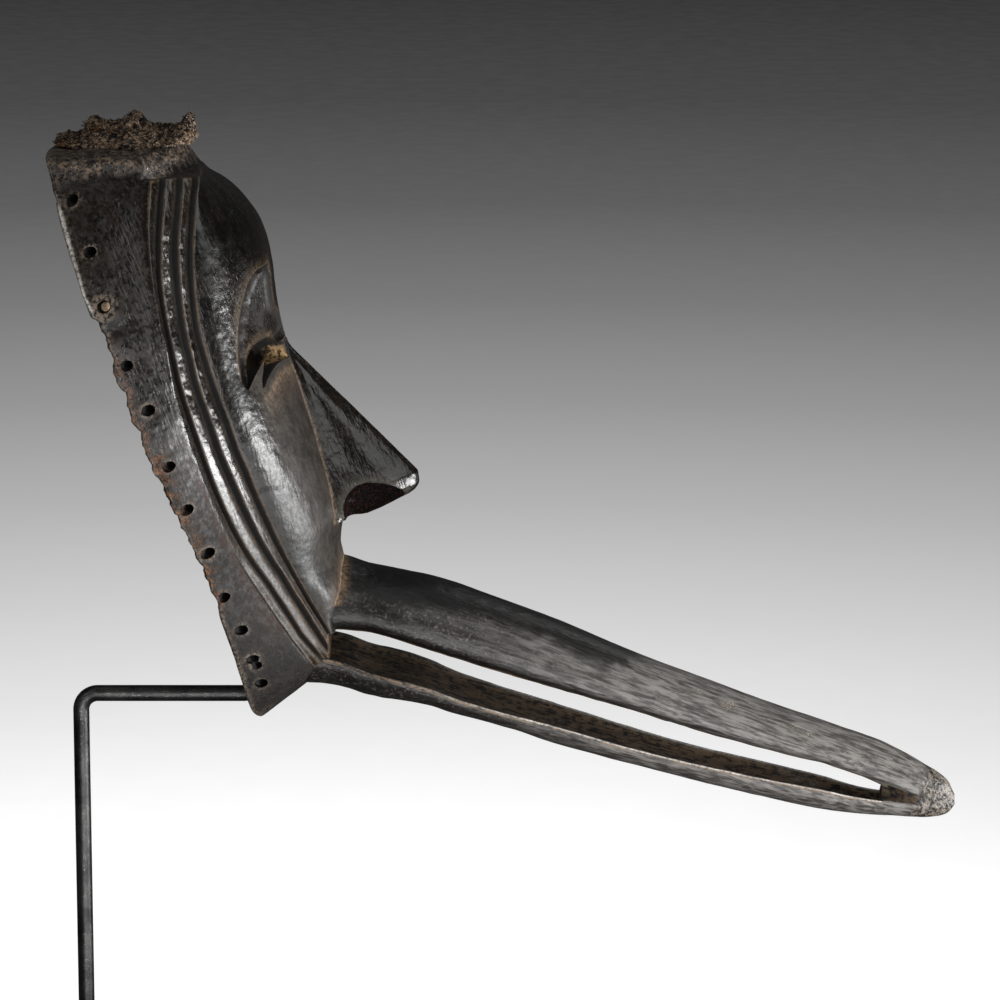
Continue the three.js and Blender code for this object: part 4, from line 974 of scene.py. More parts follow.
hatch = np.exp(-(np.linalg.norm((P - np.array([-8.0, -46, 330])) / np.array([1, 2, 1.3]), axis=1) / 8.0) ** 2)
hatch = np.maximum(hatch, np.exp(-(np.linalg.norm((P - np.array([-2.0, -36, 313])) / np.array([1, 3, 1.4]), axis=1) / 7.0) ** 2))
# a lighter grey band on the nose's wing just above the nostril: partly wear, partly a painted highlight where the
# flaring wing catches light
wing_wear_and_sheen = on_nose * (1 - in_nostril) * np.exp(-(nearest(P, seam(113)) / 2.7) ** 2)
# painted highlight: a thin near-white line along the lower jaw's rim, joined below with the rim's painted edge
# highlight
painted_rim_lines = (part == 3) * np.exp(-((beak_z - b_rim - 0.0) / 0.42) ** 2) * smooth(-50, 10, beak_x) * (0.45 + 0.75 * (0.5 + 0.5 * noise1(beak_x / 4.0, 671)))
painted_rim_lines = np.maximum(painted_rim_lines, edge_wear_and_highlight)
deep = in_gap * (part == 3) * smooth(0.9, 3.4, b_rim - beak_z)
# the front of the cheeks, between the highlight band and the nose: dusty grey-brown, partly a painted sheen for soft
# light reflected there
front_dust_and_sheen = front * smooth(4.24, 4.40, s_f) * (1 - smooth(8, 24, v_f))
# more painted shade deep in the jaw's trough and in the closing groove, and a dark line for the crack along the rough
# tip's edge
painted_shade_and_cracks = np.maximum(painted_shade_and_cracks, 0.6 * deep)
painted_shade_and_cracks = np.maximum(painted_shade_and_cracks, 0.75 * closing)
painted_shade_and_cracks = np.maximum(painted_shade_and_cracks, 0.9 * 4 * tip_rough * (1 - tip_rough) * (beak_z > -121))

seat = np.clip(np.exp(-((d_holes - 1.2) / 1.6) ** 2) * (np.abs(v_f - 55.9) < 7) * (y_f < 0) * (1 - in_hole), 0, 1)
worn = np.maximum(worn, 0.9 * seat * low_noise * 1.5)

for key, values in {"dust": dust, "painted_shade_and_cracks": painted_shade_and_cracks, "worn": worn, "eaten": eaten, "inner": inner, "flange": flange, "forehead": forehead,
                    "polish": polish, "flank": flank, "gap": in_gap, "lid": lid, "nose": on_nose, "beak_painted_shade": np.maximum(painted_top_shade, painted_root_shade),
                    "lip_painted_shade": lip_painted_shade, "raw": raw_eye, "rustband": rust_band, "crusty": crusty, "tiprough": tip_rough, "spots": spots,
                    "hatch": hatch, "nostril": in_nostril, "cheek": cheek, "beak": on_beak, "wing_wear_and_sheen": wing_wear_and_sheen, "painted_rim_highlight": painted_rim_lines, "front_dust_and_sheen": front_dust_and_sheen, "low": face_like * (1 - smooth(-62, -8, v_f)), "flangelow": flange * (1 - smooth(-48, 28, v_f)), "pale_and_painted_sheen": smooth(-30, 75, beak_x)}.items():
    put_field(me, key, np.clip(values, 0, 1))
for key in ("s", "v", "part", "pf"):
    if key in me.attributes:
        me.attributes.remove(me.attributes[key])
for poly in me.polygons:
    poly.use_smooth = True
me.set_sharp_from_angle(angle=math.radians(42))
me.validate()


# ------------------------------------------------------------------ node helpers
class Nodes:
    """Short calls for building a node material."""

    def __init__(self, name):
        self.mat = bpy.data.materials.new(name)
        self.mat.use_nodes = True
        self.tree = self.mat.node_tree
        self.tree.nodes.clear()
        self.out = self.tree.nodes.new("ShaderNodeOutputMaterial")
        self.bsdf = self.tree.nodes.new("ShaderNodeBsdfPrincipled")
        self.tree.links.new(self.bsdf.outputs[0], self.out.inputs[0])
        self.coord = self.tree.nodes.new("ShaderNodeTexCoord")

    def link(self, a, b):
        self.tree.links.new(a, b)

    def put(self, socket, value):
        if isinstance(value, bpy.types.NodeSocket):
            self.link(value, socket)
        else:
            socket.default_value = value

    def field(self, name):
        n = self.tree.nodes.new("ShaderNodeAttribute")
        n.attribute_type = "GEOMETRY"
        n.attribute_name = name
        return n.outputs["Fac"]

    def scaled(self, sx, sy=None, sz=None, turn=(0, 0, 0)):
        source = self.coord.outputs["Object"]
        if any(turn):
            r = self.tree.nodes.new("ShaderNodeMapping")
            r.vector_type = "POINT"
            self.link(source, r.inputs["Vector"])
            r.inputs["Rotation"].default_value = turn
            source = r.outputs[0]
        n = self.tree.nodes.new("ShaderNodeMapping")
        n.vector_type = "POINT"
        self.link(source, n.inputs["Vector"])
        n.inputs["Scale"].default_value = (sx, sx if sy is None else sy, sx if sz is None else sz)
        return n.outputs[0]

    def noise(self, vector, detail=3.0, rough=0.55, distortion=0.0):
        n = self.tree.nodes.new("ShaderNodeTexNoise")
        n.inputs["Scale"].default_value = 1.0
        n.inputs["Detail"].default_value = detail
        n.inputs["Roughness"].default_value = rough
        n.inputs["Distortion"].default_value = distortion
        self.link(vector, n.inputs["Vector"])
        return n.outputs["Fac"]

    def cells(self, vector, feature="F1"):
        n = self.tree.nodes.new("ShaderNodeTexVoronoi")
        n.feature = feature
        n.inputs["Scale"].default_value = 1.0
        self.link(vector, n.inputs["Vector"])
        return n.outputs["Distance"]

    def math(self, op, a, b=0.0, c=0.0, clamp=False):
        n = self.tree.nodes.new("ShaderNodeMath")
        n.operation = op
        n.use_clamp = clamp
        self.put(n.inputs[0], a)
        self.put(n.inputs[1], b)
        self.put(n.inputs[2], c)
        return n.outputs[0]

    def ramp(self, value, a, b, lo=0.0, hi=1.0):
        n = self.tree.nodes.new("ShaderNodeMapRange")
        n.interpolation_type = "SMOOTHSTEP"
        n.inputs["From Min"].default_value = a
        n.inputs["From Max"].default_value = b
        n.inputs["To Min"].default_value = lo
        n.inputs["To Max"].default_value = hi
        self.link(value, n.inputs["Value"])
        return n.outputs[0]

    def mix(self, fac, a, b):
        n = self.tree.nodes.new("ShaderNodeMix")
        n.data_type = "RGBA"
        self.put(n.inputs[0], fac)
        self.put(n.inputs[6], a if not isinstance(a, tuple) else (*a, 1.0))
        self.put(n.inputs[7], b if not isinstance(b, tuple) else (*b, 1.0))
        return n.outputs[2]

    def mixf(self, fac, a, b):
        n = self.tree.nodes.new("ShaderNodeMix")
        n.data_type = "FLOAT"
        self.put(n.inputs[0], fac)
        self.put(n.inputs[2], a)
        self.put(n.inputs[3], b)
        return n.outputs[0]

    def bump(self, height, strength, distance, normal=None):
        n = self.tree.nodes.new("ShaderNodeBump")
        n.inputs["Strength"].default_value = strength
        n.inputs["Distance"].default_value = distance
        self.link(height, n.inputs["Height"])
        if normal is not None:
            self.link(normal, n.inputs["Normal"])
        return n.outputs[0]


def patinated_wood():
    m = Nodes("patinated_wood")
    f = m.field
    mul = lambda a, b, clamp=False: m.math("MULTIPLY", a, b, clamp=clamp)
    broad = m.noise(m.scaled(48), 3, 0.5)
    blotch = m.noise(m.scaled(150), 4, 0.62, 0.4)
    mottle = m.noise(m.scaled(360), 3, 0.65)
    speck = m.noise(m.scaled(760), 3, 0.62)
    fine = m.noise(m.scaled(1900), 2, 0.6)
    grain = m.noise(m.scaled(1000, 1000, 85, (0, math.radians(18), 0)), 3, 0.62, 0.25)
    along_beak = m.noise(m.scaled(95, 900, 900, (0, math.radians(-20), 0)), 3, 0.62, 0.3)
    brush = m.noise(m.scaled(1500, 1500, 210, (0, math.radians(27), 0)), 2, 0.6)
    scratch = m.noise(m.scaled(3400, 3400, 210, (0, math.radians(28), 0)), 1, 0.5)
    # patina, with painted shade, painted highlights and painted sheen mixed in below
    col = m.mix(m.ramp(broad, 0.36, 0.66), (0.0028, 0.0024, 0.0021), (0.0078, 0.0060, 0.0047))
    col = m.mix(mul(m.ramp(mottle, 0.50, 0.66), 0.5), col, (0.018, 0.0132, 0.0098))
    col = m.mix(mul(f("flange"), m.ramp(blotch, 0.38, 0.68, 0.05, 0.7)), col, (0.0175, 0.0118, 0.0086))
    col = m.mix(mul(f("flange"), m.ramp(m.noise(m.scaled(95), 3, 0.55), 0.52, 0.64, 0.0, 0.6)), col, (0.0026, 0.0021, 0.0020))
    col = m.mix(mul(f("rustband"), m.ramp(mottle, 0.35, 0.65, 0.25, 0.8)), col, (0.036, 0.0165, 0.0098))
    col = m.mix(mul(m.ramp(grain, 0.55, 0.74), 0.22), col, (0.040, 0.029, 0.0215))
    col = m.mix(mul(m.ramp(speck, 0.62, 0.70), 0.35), col, (0.085, 0.063, 0.046))
    col = m.mix(mul(f("forehead"), m.ramp(blotch, 0.40, 0.60, 0.95, 0.35)), col, (0.0015, 0.0014, 0.0012))
    col = m.mix(mul(f("lid"), 0.55), col, (0.0125, 0.0100, 0.0080))
    # the beak's flank: weathered grey wood painted much lighter toward the tip, partly the wood's own grey and partly
    # painted sheen for light reflected off the bright surroundings
    col = m.mix(mul(f("flank"), m.ramp(along_beak, 0.36, 0.66, 0.25, 0.9)), col, m.mix(f("pale_and_painted_sheen"), (0.026, 0.0235, 0.021), (0.170, 0.158, 0.147)))
    col = m.mix(mul(mul(f("flank"), f("pale_and_painted_sheen")), m.ramp(m.math("ADD", mul(along_beak, 0.7), mul(blotch, 0.3)), 0.42, 0.62, 0.0, 0.55)), col, (0.265, 0.248, 0.231))
    col = m.mix(mul(mul(f("flank"), f("pale_and_painted_sheen")), m.ramp(mottle, 0.61, 0.70, 0.0, 0.4)), col, (0.040, 0.034, 0.029))
    root = m.math("SUBTRACT", 1.0, f("pale_and_painted_sheen"))
    col = m.mix(mul(mul(f("flank"), root), m.ramp(speck, 0.54, 0.66, 0.0, 0.6)), col, (0.13, 0.12, 0.108))
    # dust and painted sheen: the front cheeks painted lighter grey-brown
    col = m.mix(mul(f("front_dust_and_sheen"), m.ramp(blotch, 0.35, 0.65, 0.35, 0.95)), col, (0.046, 0.039, 0.033))
    # wear and painted highlight on the nose's wing above the nostril
    col = m.mix(mul(f("wing_wear_and_sheen"), 0.6), col, (0.085, 0.078, 0.064))
    # painted shade: the upper beak's top and root painted near-black
    col = m.mix(mul(f("beak_painted_shade"), 0.9), col, (0.0022, 0.0020, 0.0019))
    # painted shade: the upper beak's rolled-under lip painted near-black
    col = m.mix(mul(f("lip_painted_shade"), 0.85), col, (0.0040, 0.0036, 0.0033))
    gap_col = m.mix(m.ramp(m.math("ADD", mul(mottle, 0.5), mul(along_beak, 0.5)), 0.44, 0.54), (0.010, 0.0068, 0.0048), (0.21, 0.138, 0.080))
    col = m.mix(f("gap"), col, gap_col)
    inside = m.mix(m.ramp(grain, 0.35, 0.68), (0.040, 0.026, 0.017), (0.10, 0.068, 0.043))
    inside = m.mix(m.ramp(blotch, 0.5, 0.75), inside, (0.022, 0.015, 0.011))
    col = m.mix(f("inner"), col, inside)
    tip_col = m.mix(m.ramp(m.math("ADD", mul(mottle, 0.4), mul(speck, 0.6)), 0.44, 0.56), (0.013, 0.010, 0.008), (0.20, 0.172, 0.145))
    col = m.mix(f("tiprough"), col, tip_col)
    crust_col = m.mix(m.ramp(mottle, 0.42, 0.60), (0.014, 0.010, 0.0075), (0.15, 0.104, 0.070))
    crusty = mul(f("crusty"), m.ramp(speck, 0.38, 0.56))
    col = m.mix(crusty, col, crust_col)
    worn = mul(f("worn"), m.ramp(speck, 0.38, 0.60))
    col = m.mix(worn, col, (0.165, 0.130, 0.100))
    dusty = mul(f("dust"), m.ramp(speck, 0.30, 0.60, 0.35, 1.25), clamp=True)
    tan = m.mix(speck, (0.13, 0.078, 0.042), (0.27, 0.185, 0.115))
    col = m.mix(dusty, col, tan)
    raw = m.mix(m.ramp(speck, 0.38, 0.54), (0.055, 0.024, 0.009), (0.46, 0.31, 0.145))
    col = m.mix(f("raw"), col, raw)
    # painted highlight: the lit rim lines painted near-white
    col = m.mix(mul(f("painted_rim_highlight"), m.ramp(speck, 0.36, 0.56, 0.35, 1.0)), col, (0.85, 0.80, 0.74))
    # painted shade: where shadow falls the colour is painted near-black and the surface made rough; the same field also
    # darkens the crack at the tip
    painted_shade_and_cracks = mul(f("painted_shade_and_cracks"), m.ramp(speck, 0.2, 0.7, 1.0, 0.8))
    col = m.mix(painted_shade_and_cracks, col, (0.0022, 0.0018, 0.0016))
    gnaw = mul(f("eaten"), m.ramp(m.noise(m.scaled(430), 3, 0.7), 0.46, 0.56))
    col = m.mix(gnaw, col, m.mix(m.ramp(fine, 0.35, 0.65), (0.050, 0.018, 0.009), (0.27, 0.125, 0.055)))
    chip = mul(f("spots"), m.ramp(speck, 0.36, 0.52))
    col = m.mix(chip, col, m.mix(m.ramp(fine, 0.4, 0.6), (0.018, 0.013, 0.010), (0.34, 0.29, 0.24)))
    nick = mul(f("hatch"), m.ramp(scratch, 0.665, 0.70))
    col = m.mix(mul(nick, 0.75), col, (0.36, 0.31, 0.26))
    residue = mul(f("nostril"), m.ramp(m.noise(m.scaled(1200, 1200, 300), 2, 0.6), 0.55, 0.68))
    col = m.mix(mul(residue, 0.5), col, (0.055, 0.014, 0.010))
    m.link(col, m.bsdf.inputs["Base Color"])
    rough = m.ramp(blotch, 0.3, 0.7, 0.17, 0.25)
    rough = m.math("SUBTRACT", rough, mul(f("polish"), 0.04))
    rough = m.mixf(mul(f("low"), 0.7), rough, 0.50)
    rough = m.mixf(mul(f("flange"), 0.85), rough, m.mixf(f("flangelow"), m.ramp(mottle, 0.38, 0.62, 0.20, 0.40), m.ramp(mottle, 0.38, 0.62, 0.66, 0.84)))
    rough = m.mixf(mul(f("front_dust_and_sheen"), 0.8), rough, 0.40)
    rough = m.mixf(mul(f("flank"), 0.8), rough, 0.34)
    rough = m.mixf(f("cheek"), rough, m.mixf(f("low"), 0.27, 0.46))
    rough = m.mixf(mul(f("beak_painted_shade"), 0.6), rough, 0.40)
    rough = m.mixf(f("inner"), rough, 0.72)
    rough = m.mixf(f("gap"), rough, 0.62)
    rough = m.mixf(f("tiprough"), rough, 0.36)
    rough = m.mixf(crusty, rough, 0.9)
    rough = m.mixf(dusty, rough, 0.8)
    rough = m.mixf(painted_shade_and_cracks, rough, 0.95)
    rough = m.mixf(gnaw, rough, 0.92)
    rough = m.mixf(f("raw"), rough, 0.85)
    rough = m.mixf(f("nostril"), rough, 0.2)
    rough = m.math("ADD", rough, m.ramp(speck, 0.38, 0.62, -0.03, 0.05))
    m.link(rough, m.bsdf.inputs["Roughness"])
    m.bsdf.inputs["Specular IOR Level"].default_value = 0.5
    m.bsdf.inputs["IOR"].default_value = 1.5
    # the tool's small facets, the grain, the polish's streaks and the pitted places
    facet = m.noise(m.scaled(250), 1, 0.5)
    grit = m.noise(m.scaled(820), 1, 0.5)
    streak = m.noise(m.scaled(900, 900, 150, (0, math.radians(20), 0)), 1, 0.5)
    h = m.math("ADD", mul(facet, 1.3), mul(grit, 0.24))
    h = mul(h, m.math("SUBTRACT", 1.0, mul(f("forehead"), 0.5)))
    n1 = m.bump(h, 0.55, 0.00042)
    beak_streak = m.noise(m.scaled(120, 950, 950, (0, math.radians(-20), 0)), 2, 0.55)
    streaks = m.mixf(f("beak"), streak, beak_streak)
    streaks = mul(streaks, m.mixf(m.math("MAXIMUM", f("flange"), f("beak")), m.mixf(f("nose"), 0.38, 0.6), 1.0))
    n2 = m.bump(streaks, 0.5, 0.00042, n1)
    pits = m.math("ADD", mul(gnaw, 1.2), mul(crusty, 0.8))
    pits = m.math("ADD", pits, mul(chip, 0.7))
    pits = m.math("ADD", pits, mul(f("tiprough"), mul(mottle, 3.4)))
    pits = m.math("SUBTRACT", mul(fine, 0.12), pits)
    n3 = m.bump(pits, 0.5, 0.0005, n2)
    m.link(n3, m.bsdf.inputs["Normal"])
    return m.mat


WOOD = patinated_wood()
me.materials.clear()
me.materials.append(WOOD)
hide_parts("mask")
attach(mask, "root")


def fibre_crust():
    m = Nodes("fibre_crust")
    big = m.noise(m.scaled(120), 3, 0.6, 0.5)
    mid = m.noise(m.scaled(520, 380, 620), 4, 0.7, 0.6)
    fine = m.noise(m.scaled(2200, 1200, 2400), 2, 0.65)
    col = m.mix(m.ramp(big, 0.38, 0.62), (0.018, 0.012, 0.0085), (0.105, 0.066, 0.042))
    col = m.mix(m.math("MULTIPLY", m.ramp(mid, 0.50, 0.62), 0.9), col, (0.30, 0.21, 0.135))
    col = m.mix(m.math("MULTIPLY", m.ramp(fine, 0.56, 0.66), 0.85), col, (0.66, 0.50, 0.36))
    col = m.mix(m.ramp(mid, 0.51, 0.42), col, (0.005, 0.004, 0.0034))
    col = m.mix(m.math("MULTIPLY", m.ramp(m.noise(m.scaled(210), 2, 0.5), 0.66, 0.72), 0.8), col, (0.26, 0.105, 0.022))
    m.link(col, m.bsdf.inputs["Base Color"])
    m.link(m.ramp(fine, 0.3, 0.7, 0.75, 1.0), m.bsdf.inputs["Roughness"])
    m.bsdf.inputs["Specular IOR Level"].default_value = 0.3
    m.link(m.bump(m.math("ADD", mid, m.math("MULTIPLY", fine, 0.5)), 0.9, 0.0009), m.bsdf.inputs["Normal"])
    return m.mat


def crown_top(y):
    v = along([33, 43, 50, 53.6, 55.2], [113.6, 113.3, 112.3, 110.5, 108], np.abs(y) * 1.12)
    return FACE_Z + v * COS + 0.1 - CROWN_SLOPE * np.maximum(y, 0)


def crust_piece():
    nx, ny = 150, 150
    t = np.linspace(0, 1, nx)[:, None]
    s = np.linspace(-1, 1, ny)[None, :]
    x = -74.5 + 52.5 * t + 0 * s
    w = 34 * along([0, 0.08, 0.3, 0.6, 0.85, 1], [0.55, 0.8, 1, 1, 0.85, 0.55], t)
    w = w * (1 + 0.05 * noise1(t * 9, 301))
    y = w * s
    swell = np.sqrt(np.clip(1 - s * s * 0.94, 0, 1)) * np.ones_like(t)
    rise = along([0, 0.06, 0.17, 0.24, 0.33, 0.45, 0.56, 0.66, 0.76, 0.86, 0.915, 0.955, 0.985, 1], [1.0, 1.6, 2.0, 6.2, 6.8, 6.6, 8.2, 6.0, 4.6, 4.0, 6.4, 8.6, 6.5, 2.0], t)
    rise = rise * np.ones_like(s)
    q = np.stack([x / 5.5, y / 5.5, 0 * x], -1)
    lumps = fractal(q, 311, 3, 0.55)
    small = fractal(q * 4.2, 317, 2, 0.6)
    mid = fractal(q * 2.1, 331, 2, 0.6)
    top = crown_top(y) + 0.3 + np.maximum(rise * (1 + 0.45 * lumps) * swell + 0.75 * small + 0.8 * mid * swell, 0.5)
    x = x + 0.9 * noise(np.stack([y / 3.0, x / 9.0, 0 * x], -1), 323)
    upper_pts = np.stack([x, y, top], -1)
    lower_pts = np.stack([x, y, crown_top(y) + 0.3], -1)
    verts = np.vstack([upper_pts.reshape(-1, 3), lower_pts.reshape(-1, 3)])
    base = nx * ny
    faces = [tuple(f) for f in loft_faces(nx, ny, 0, False)]
    faces += [tuple(reversed(f)) for f in loft_faces(nx, ny, base, False)]
    for i in range(nx - 1):
        for j, flip in ((0, False), (ny - 1, True)):
            a, b = i * ny + j, (i + 1) * ny + j
            f = (a, b, b + base, a + base)
            faces.append(tuple(reversed(f)) if flip else f)
    for j in range(ny - 1):
        for i, flip in ((0, True), (nx - 1, False)):
            a, b = i * ny + j, i * ny + j + 1
            f = (a, b, b + base, a + base)
            faces.append(tuple(reversed(f)) if flip else f)
    ob = new_mesh("crown_fibre_crust", verts, faces)
    # loose ends of the fibre, lying on the clot and sticking out round its edge
    r = np.random.RandomState(21)
    fv, ff = [], []
    for k in range(900):
        i, j = r.randint(6, nx - 6), r.randint(4, ny - 4)
        p = upper_pts[i, j].copy()
        ang = r.uniform(0, 2 * math.pi)
        if r.rand() < 0.45:
            ang = r.normal(0, 0.5) + (0 if r.rand() < 0.5 else math.pi)
        d = np.array([math.cos(ang), math.sin(ang), 0])
        length, rad = r.uniform(2.5, 7.5), r.uniform(0.10, 0.26)
        bend, curl = r.uniform(-0.8, 0.8), r.uniform(-0.6, 0.6)
        lift = r.uniform(0.05, 0.5)
        steps = 6
        ring0 = len(fv)
        for a in range(steps + 1):
            tt = a / steps
            c = p + d * length * (tt - 0.5) + np.array([-d[1], d[0], 0]) * bend * math.sin(math.pi * tt) * 1.6
            ii = int(np.clip(round((c[0] + 74.5) / 52.5 * (nx - 1)), 0, nx - 1))
            row_w = max(abs(upper_pts[ii, -1, 1]), 1.0)
            jj = int(np.clip(round((c[1] / row_w + 1) / 2 * (ny - 1)), 0, ny - 1))
            ground = upper_pts[ii, jj, 2]
            c[2] = max(ground + rad * 0.3, p[2] - 1.5) + lift * math.sin(math.pi * tt * 0.9 + curl) ** 2 * 1.5
            c[0] = np.clip(c[0], -78, -18.5)
            rr = rad * (1 - 0.6 * tt)
            side = np.array([-d[1], d[0], 0])
            for e in range(4):
                th = 2 * math.pi * e / 4
                fv.append(c + side * rr * math.cos(th) + np.array([0, 0, 1]) * rr * math.sin(th))
        for a in range(steps):
            for e in range(4):
                f0 = ring0 + a * 4 + e
                f1 = ring0 + a * 4 + (e + 1) % 4
                ff.append((f0, f1, f1 + 4, f0 + 4))
        ff.append(tuple(ring0 + e for e in (3, 2, 1, 0)))
        ff.append(tuple(ring0 + steps * 4 + e for e in range(4)))
    hair = new_mesh("hair", np.array(fv), ff)
    both = join_meshes("crown_fibre_crust", [ob, hair])
    return both


crust = crust_piece()
crust.data.materials.append(fibre_crust())
for poly in crust.data.polygons:
    poly.use_smooth = True
crust.data.set_sharp_from_angle(angle=math.radians(60))
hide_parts("crown_fibre_remains")
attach(crust, "root")


# ------------------------------------------------------------------ plug, rod, plate
def plug_piece():
    c, d = hole_axis(HOLES[2][0], HOLES[2][1], -1)
    axis = Vector(d)
    up = Vector((0, 0, 1))
    e1 = (up - axis * up.dot(axis)).normalized()
    e2 = axis.cross(e1)
    radius = HOLE_D / 2 - 0.42
    rings = []
    for s, k in [(-6.1, 0.72), (-5.8, 0.88), (-5, 0.98), (-3.5, 1.0), (-1.8, 1.0), (-0.7, 0.99), (-0.25, 0.93), (0.05, 0.80), (0.22, 0.55), (0.2, 0.25)]:
        ring = []
        for i in range(28):
            a = 2 * math.pi * i / 28
            r = radius * k * (1 + 0.05 * float(noise1(i * 0.7, 401)))
            z = s + (0.22 * float(noise(np.array([math.cos(a) * k * 2, math.sin(a) * k * 2, 0.5]), 402)) if s > -1 else 0)
            ring.append(Vector(c) + axis * z + e1 * (r * math.cos(a)) + e2 * (r * math.sin(a)))
        rings.append(ring)
    return loft("rim_plug_wood", rings)


def plug_wood():
    m = Nodes("plug_wood")
    a = m.noise(m.scaled(900, 900, 900), 3, 0.6)
    b = m.noise(m.scaled(3200, 3200, 3200), 2, 0.6)
    col = m.mix(m.ramp(a, 0.35, 0.65), (0.16, 0.10, 0.06), (0.36, 0.26, 0.17))
    col = m.mix(m.ramp(b, 0.6, 0.75), col, (0.05, 0.03, 0.02))
    m.link(col, m.bsdf.inputs["Base Color"])
    m.link(m.ramp(b, 0.3, 0.7, 0.65, 0.9), m.bsdf.inputs["Roughness"])
    m.link(m.bump(m.math("ADD", a, b), 0.5, 0.0004), m.bsdf.inputs["Normal"])
    return m.mat


plug = plug_piece()
plug.data.materials.append(plug_wood())
for poly in plug.data.polygons:
    poly.use_smooth = True
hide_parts("rim_plug")
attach(plug, "root")


def steel(name, base, lift, rust, rough_lo, rough_hi):
    m = Nodes(name)
    a = m.noise(m.scaled(90), 3, 0.55)
    b = m.noise(m.scaled(700), 3, 0.6)
    c = m.noise(m.scaled(2600, 2600, 300), 2, 0.5)
    scratch = m.noise(m.scaled(260, 6200, 5200, (0, math.radians(12), 0)), 2, 0.5)
    col = m.mix(m.ramp(a, 0.35, 0.65), base, lift)
    col = m.mix(m.math("MULTIPLY", m.ramp(scratch, 0.64, 0.72), 0.7), col, (0.42, 0.41, 0.40))
    col = m.mix(m.math("MULTIPLY", m.ramp(b, 0.66, 0.78), rust), col, (0.10, 0.055, 0.03))
    m.link(col, m.bsdf.inputs["Base Color"])
    m.bsdf.inputs["Metallic"].default_value = 0.85
    m.link(m.ramp(b, 0.3, 0.7, rough_lo, rough_hi), m.bsdf.inputs["Roughness"])
    m.link(m.bump(m.math("ADD", c, m.math("MULTIPLY", b, 0.5)), 0.25, 0.0002), m.bsdf.inputs["Normal"])
    return m.mat


def rod_piece():
    centre = []
    def line(x0, z0, x1, z1, count):
        for k in range(count):
            t = k / count
            centre.append((x0 + (x1 - x0) * t, z0 + (z1 - z0) * t))
    def arc(cx, cz, a0, a1, count):
        for k in range(count):
            a = a0 + (a1 - a0) * k / count
            centre.append((cx + ROD_BEND * math.cos(a), cz + ROD_BEND * math.sin(a)))
    foot = PLATE["z"] - 6
    line(ROD_X, foot + 0.5, ROD_X, ROD_Z - ROD_BEND, 40)
    arc(ROD_X + ROD_BEND, ROD_Z - ROD_BEND, math.pi, math.pi / 2, 14)
    line(ROD_X + ROD_BEND, ROD_Z, PRONG_X - ROD_BEND, ROD_Z, 24)
    arc(PRONG_X - ROD_BEND, ROD_Z + ROD_BEND, -math.pi / 2, 0, 14)
    line(PRONG_X, ROD_Z + ROD_BEND, PRONG_X, PRONG_TOP - 0.8, 40)
    centre.append((PRONG_X, PRONG_TOP - 0.8))
    c = np.array(centre)
    t = np.gradient(c, axis=0)
    t /= np.linalg.norm(t, axis=1, keepdims=True)
    up = np.stack([-t[:, 1], t[:, 0]], -1)
    r0 = ROD_D / 2
    rings = []
    def ring(p, u, r, k):
        a = np.linspace(0, 2 * math.pi, 33)[:-1]
        rr = r * (1 + 0.006 * noise1(a * 2 + k * 0.13, 501))
        return np.stack([p[0] + u[0] * rr * np.sin(a), rr * np.cos(a), p[1] + u[1] * rr * np.sin(a)], -1)
    rings.append(ring(c[0] - t[0] * 0.5, up[0], r0 - 0.6, 0))
    for k in range(len(c)):
        rings.append(ring(c[k], up[k], r0, k))
    for back, cut in ((0.35, 0.12), (0.65, 0.4), (0.8, 0.85)):
        rings.append(ring(c[-1] + t[-1] * back, up[-1], r0 - cut, 0))
    return loft("stand_rod_steel", rings)


rod = rod_piece()
rod.data.materials.append(steel("rod_steel", (0.028, 0.028, 0.029), (0.072, 0.071, 0.070), 0.35, 0.28, 0.42))
for poly in rod.data.polygons:
    poly.use_smooth = True
rod.data.set_sharp_from_angle(angle=math.radians(40))
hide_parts("stand_rod")
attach(rod, "root")


def plate_piece():
    hx, hy, r = PLATE["x"] / 2, PLATE["y"] / 2, PLATE["corner"]
    def outline(inset):
        pts = []
        rr = max(r - inset, 0.4)
        for cx, cy, a0 in ((hx - r, -hy + r, -90), (hx - r, hy - r, 0), (-hx + r, hy - r, 90), (-hx + r, -hy + r, 180)):
            for k in range(11):
                a = math.radians(a0 + 9 * k)
                pts.append((cx + rr * math.cos(a), cy + rr * math.sin(a)))
        return np.array(pts)
    rings = []
    e = PLATE["edge"]
    for k in range(7):
        a = math.pi / 2 * (1 - k / 6)
        o = outline(e * (1 - math.cos(a)))
        rings.append(np.column_stack([o, np.full(len(o), e * (1 - math.sin(a)))]))
    rings = rings if rings[0][0, 2] < rings[-1][0, 2] else rings[::-1]
    for k in range(7):
        a = math.pi / 2 * k / 6
        o = outline(e * (1 - math.cos(a)))
        rings.append(np.column_stack([o, np.full(len(o), PLATE["z"] - e + e * math.sin(a))]))
    ob = flat_solid("stand_plate_steel", rings)
    foot = PLATE["z"] - 6
    rr = ROD_D / 2 + 0.3
    tool = []
    for z, grow in ((foot - 0.3, 0), (foot + 2, 0), (PLATE["z"] - 0.5, 0), (PLATE["z"] + 0.2, 0.5), (PLATE["z"] + 4, 0.5)):
        a = np.linspace(0, 2 * math.pi, 41)[:-1]
        tool.append(np.stack([ROD_X + (rr + grow) * np.cos(a), (rr + grow) * np.sin(a), np.full(40, z)], -1))
    combine(ob, flat_solid("socket", tool), "DIFFERENCE", 2, 101)
    return ob


plate = plate_piece()
plate.data.materials.clear()
plate.data.materials.append(steel("plate_steel", (0.010, 0.010, 0.0105), (0.024, 0.023, 0.023), 0.2, 0.42, 0.58))
for key in ("part",):
    if key in plate.data.attributes:
        plate.data.attributes.remove(plate.data.attributes[key])
for poly in plate.data.polygons:
    poly.use_smooth = True
plate.data.set_sharp_from_angle(angle=math.radians(30))
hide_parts("stand_plate")
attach(plate, "root")


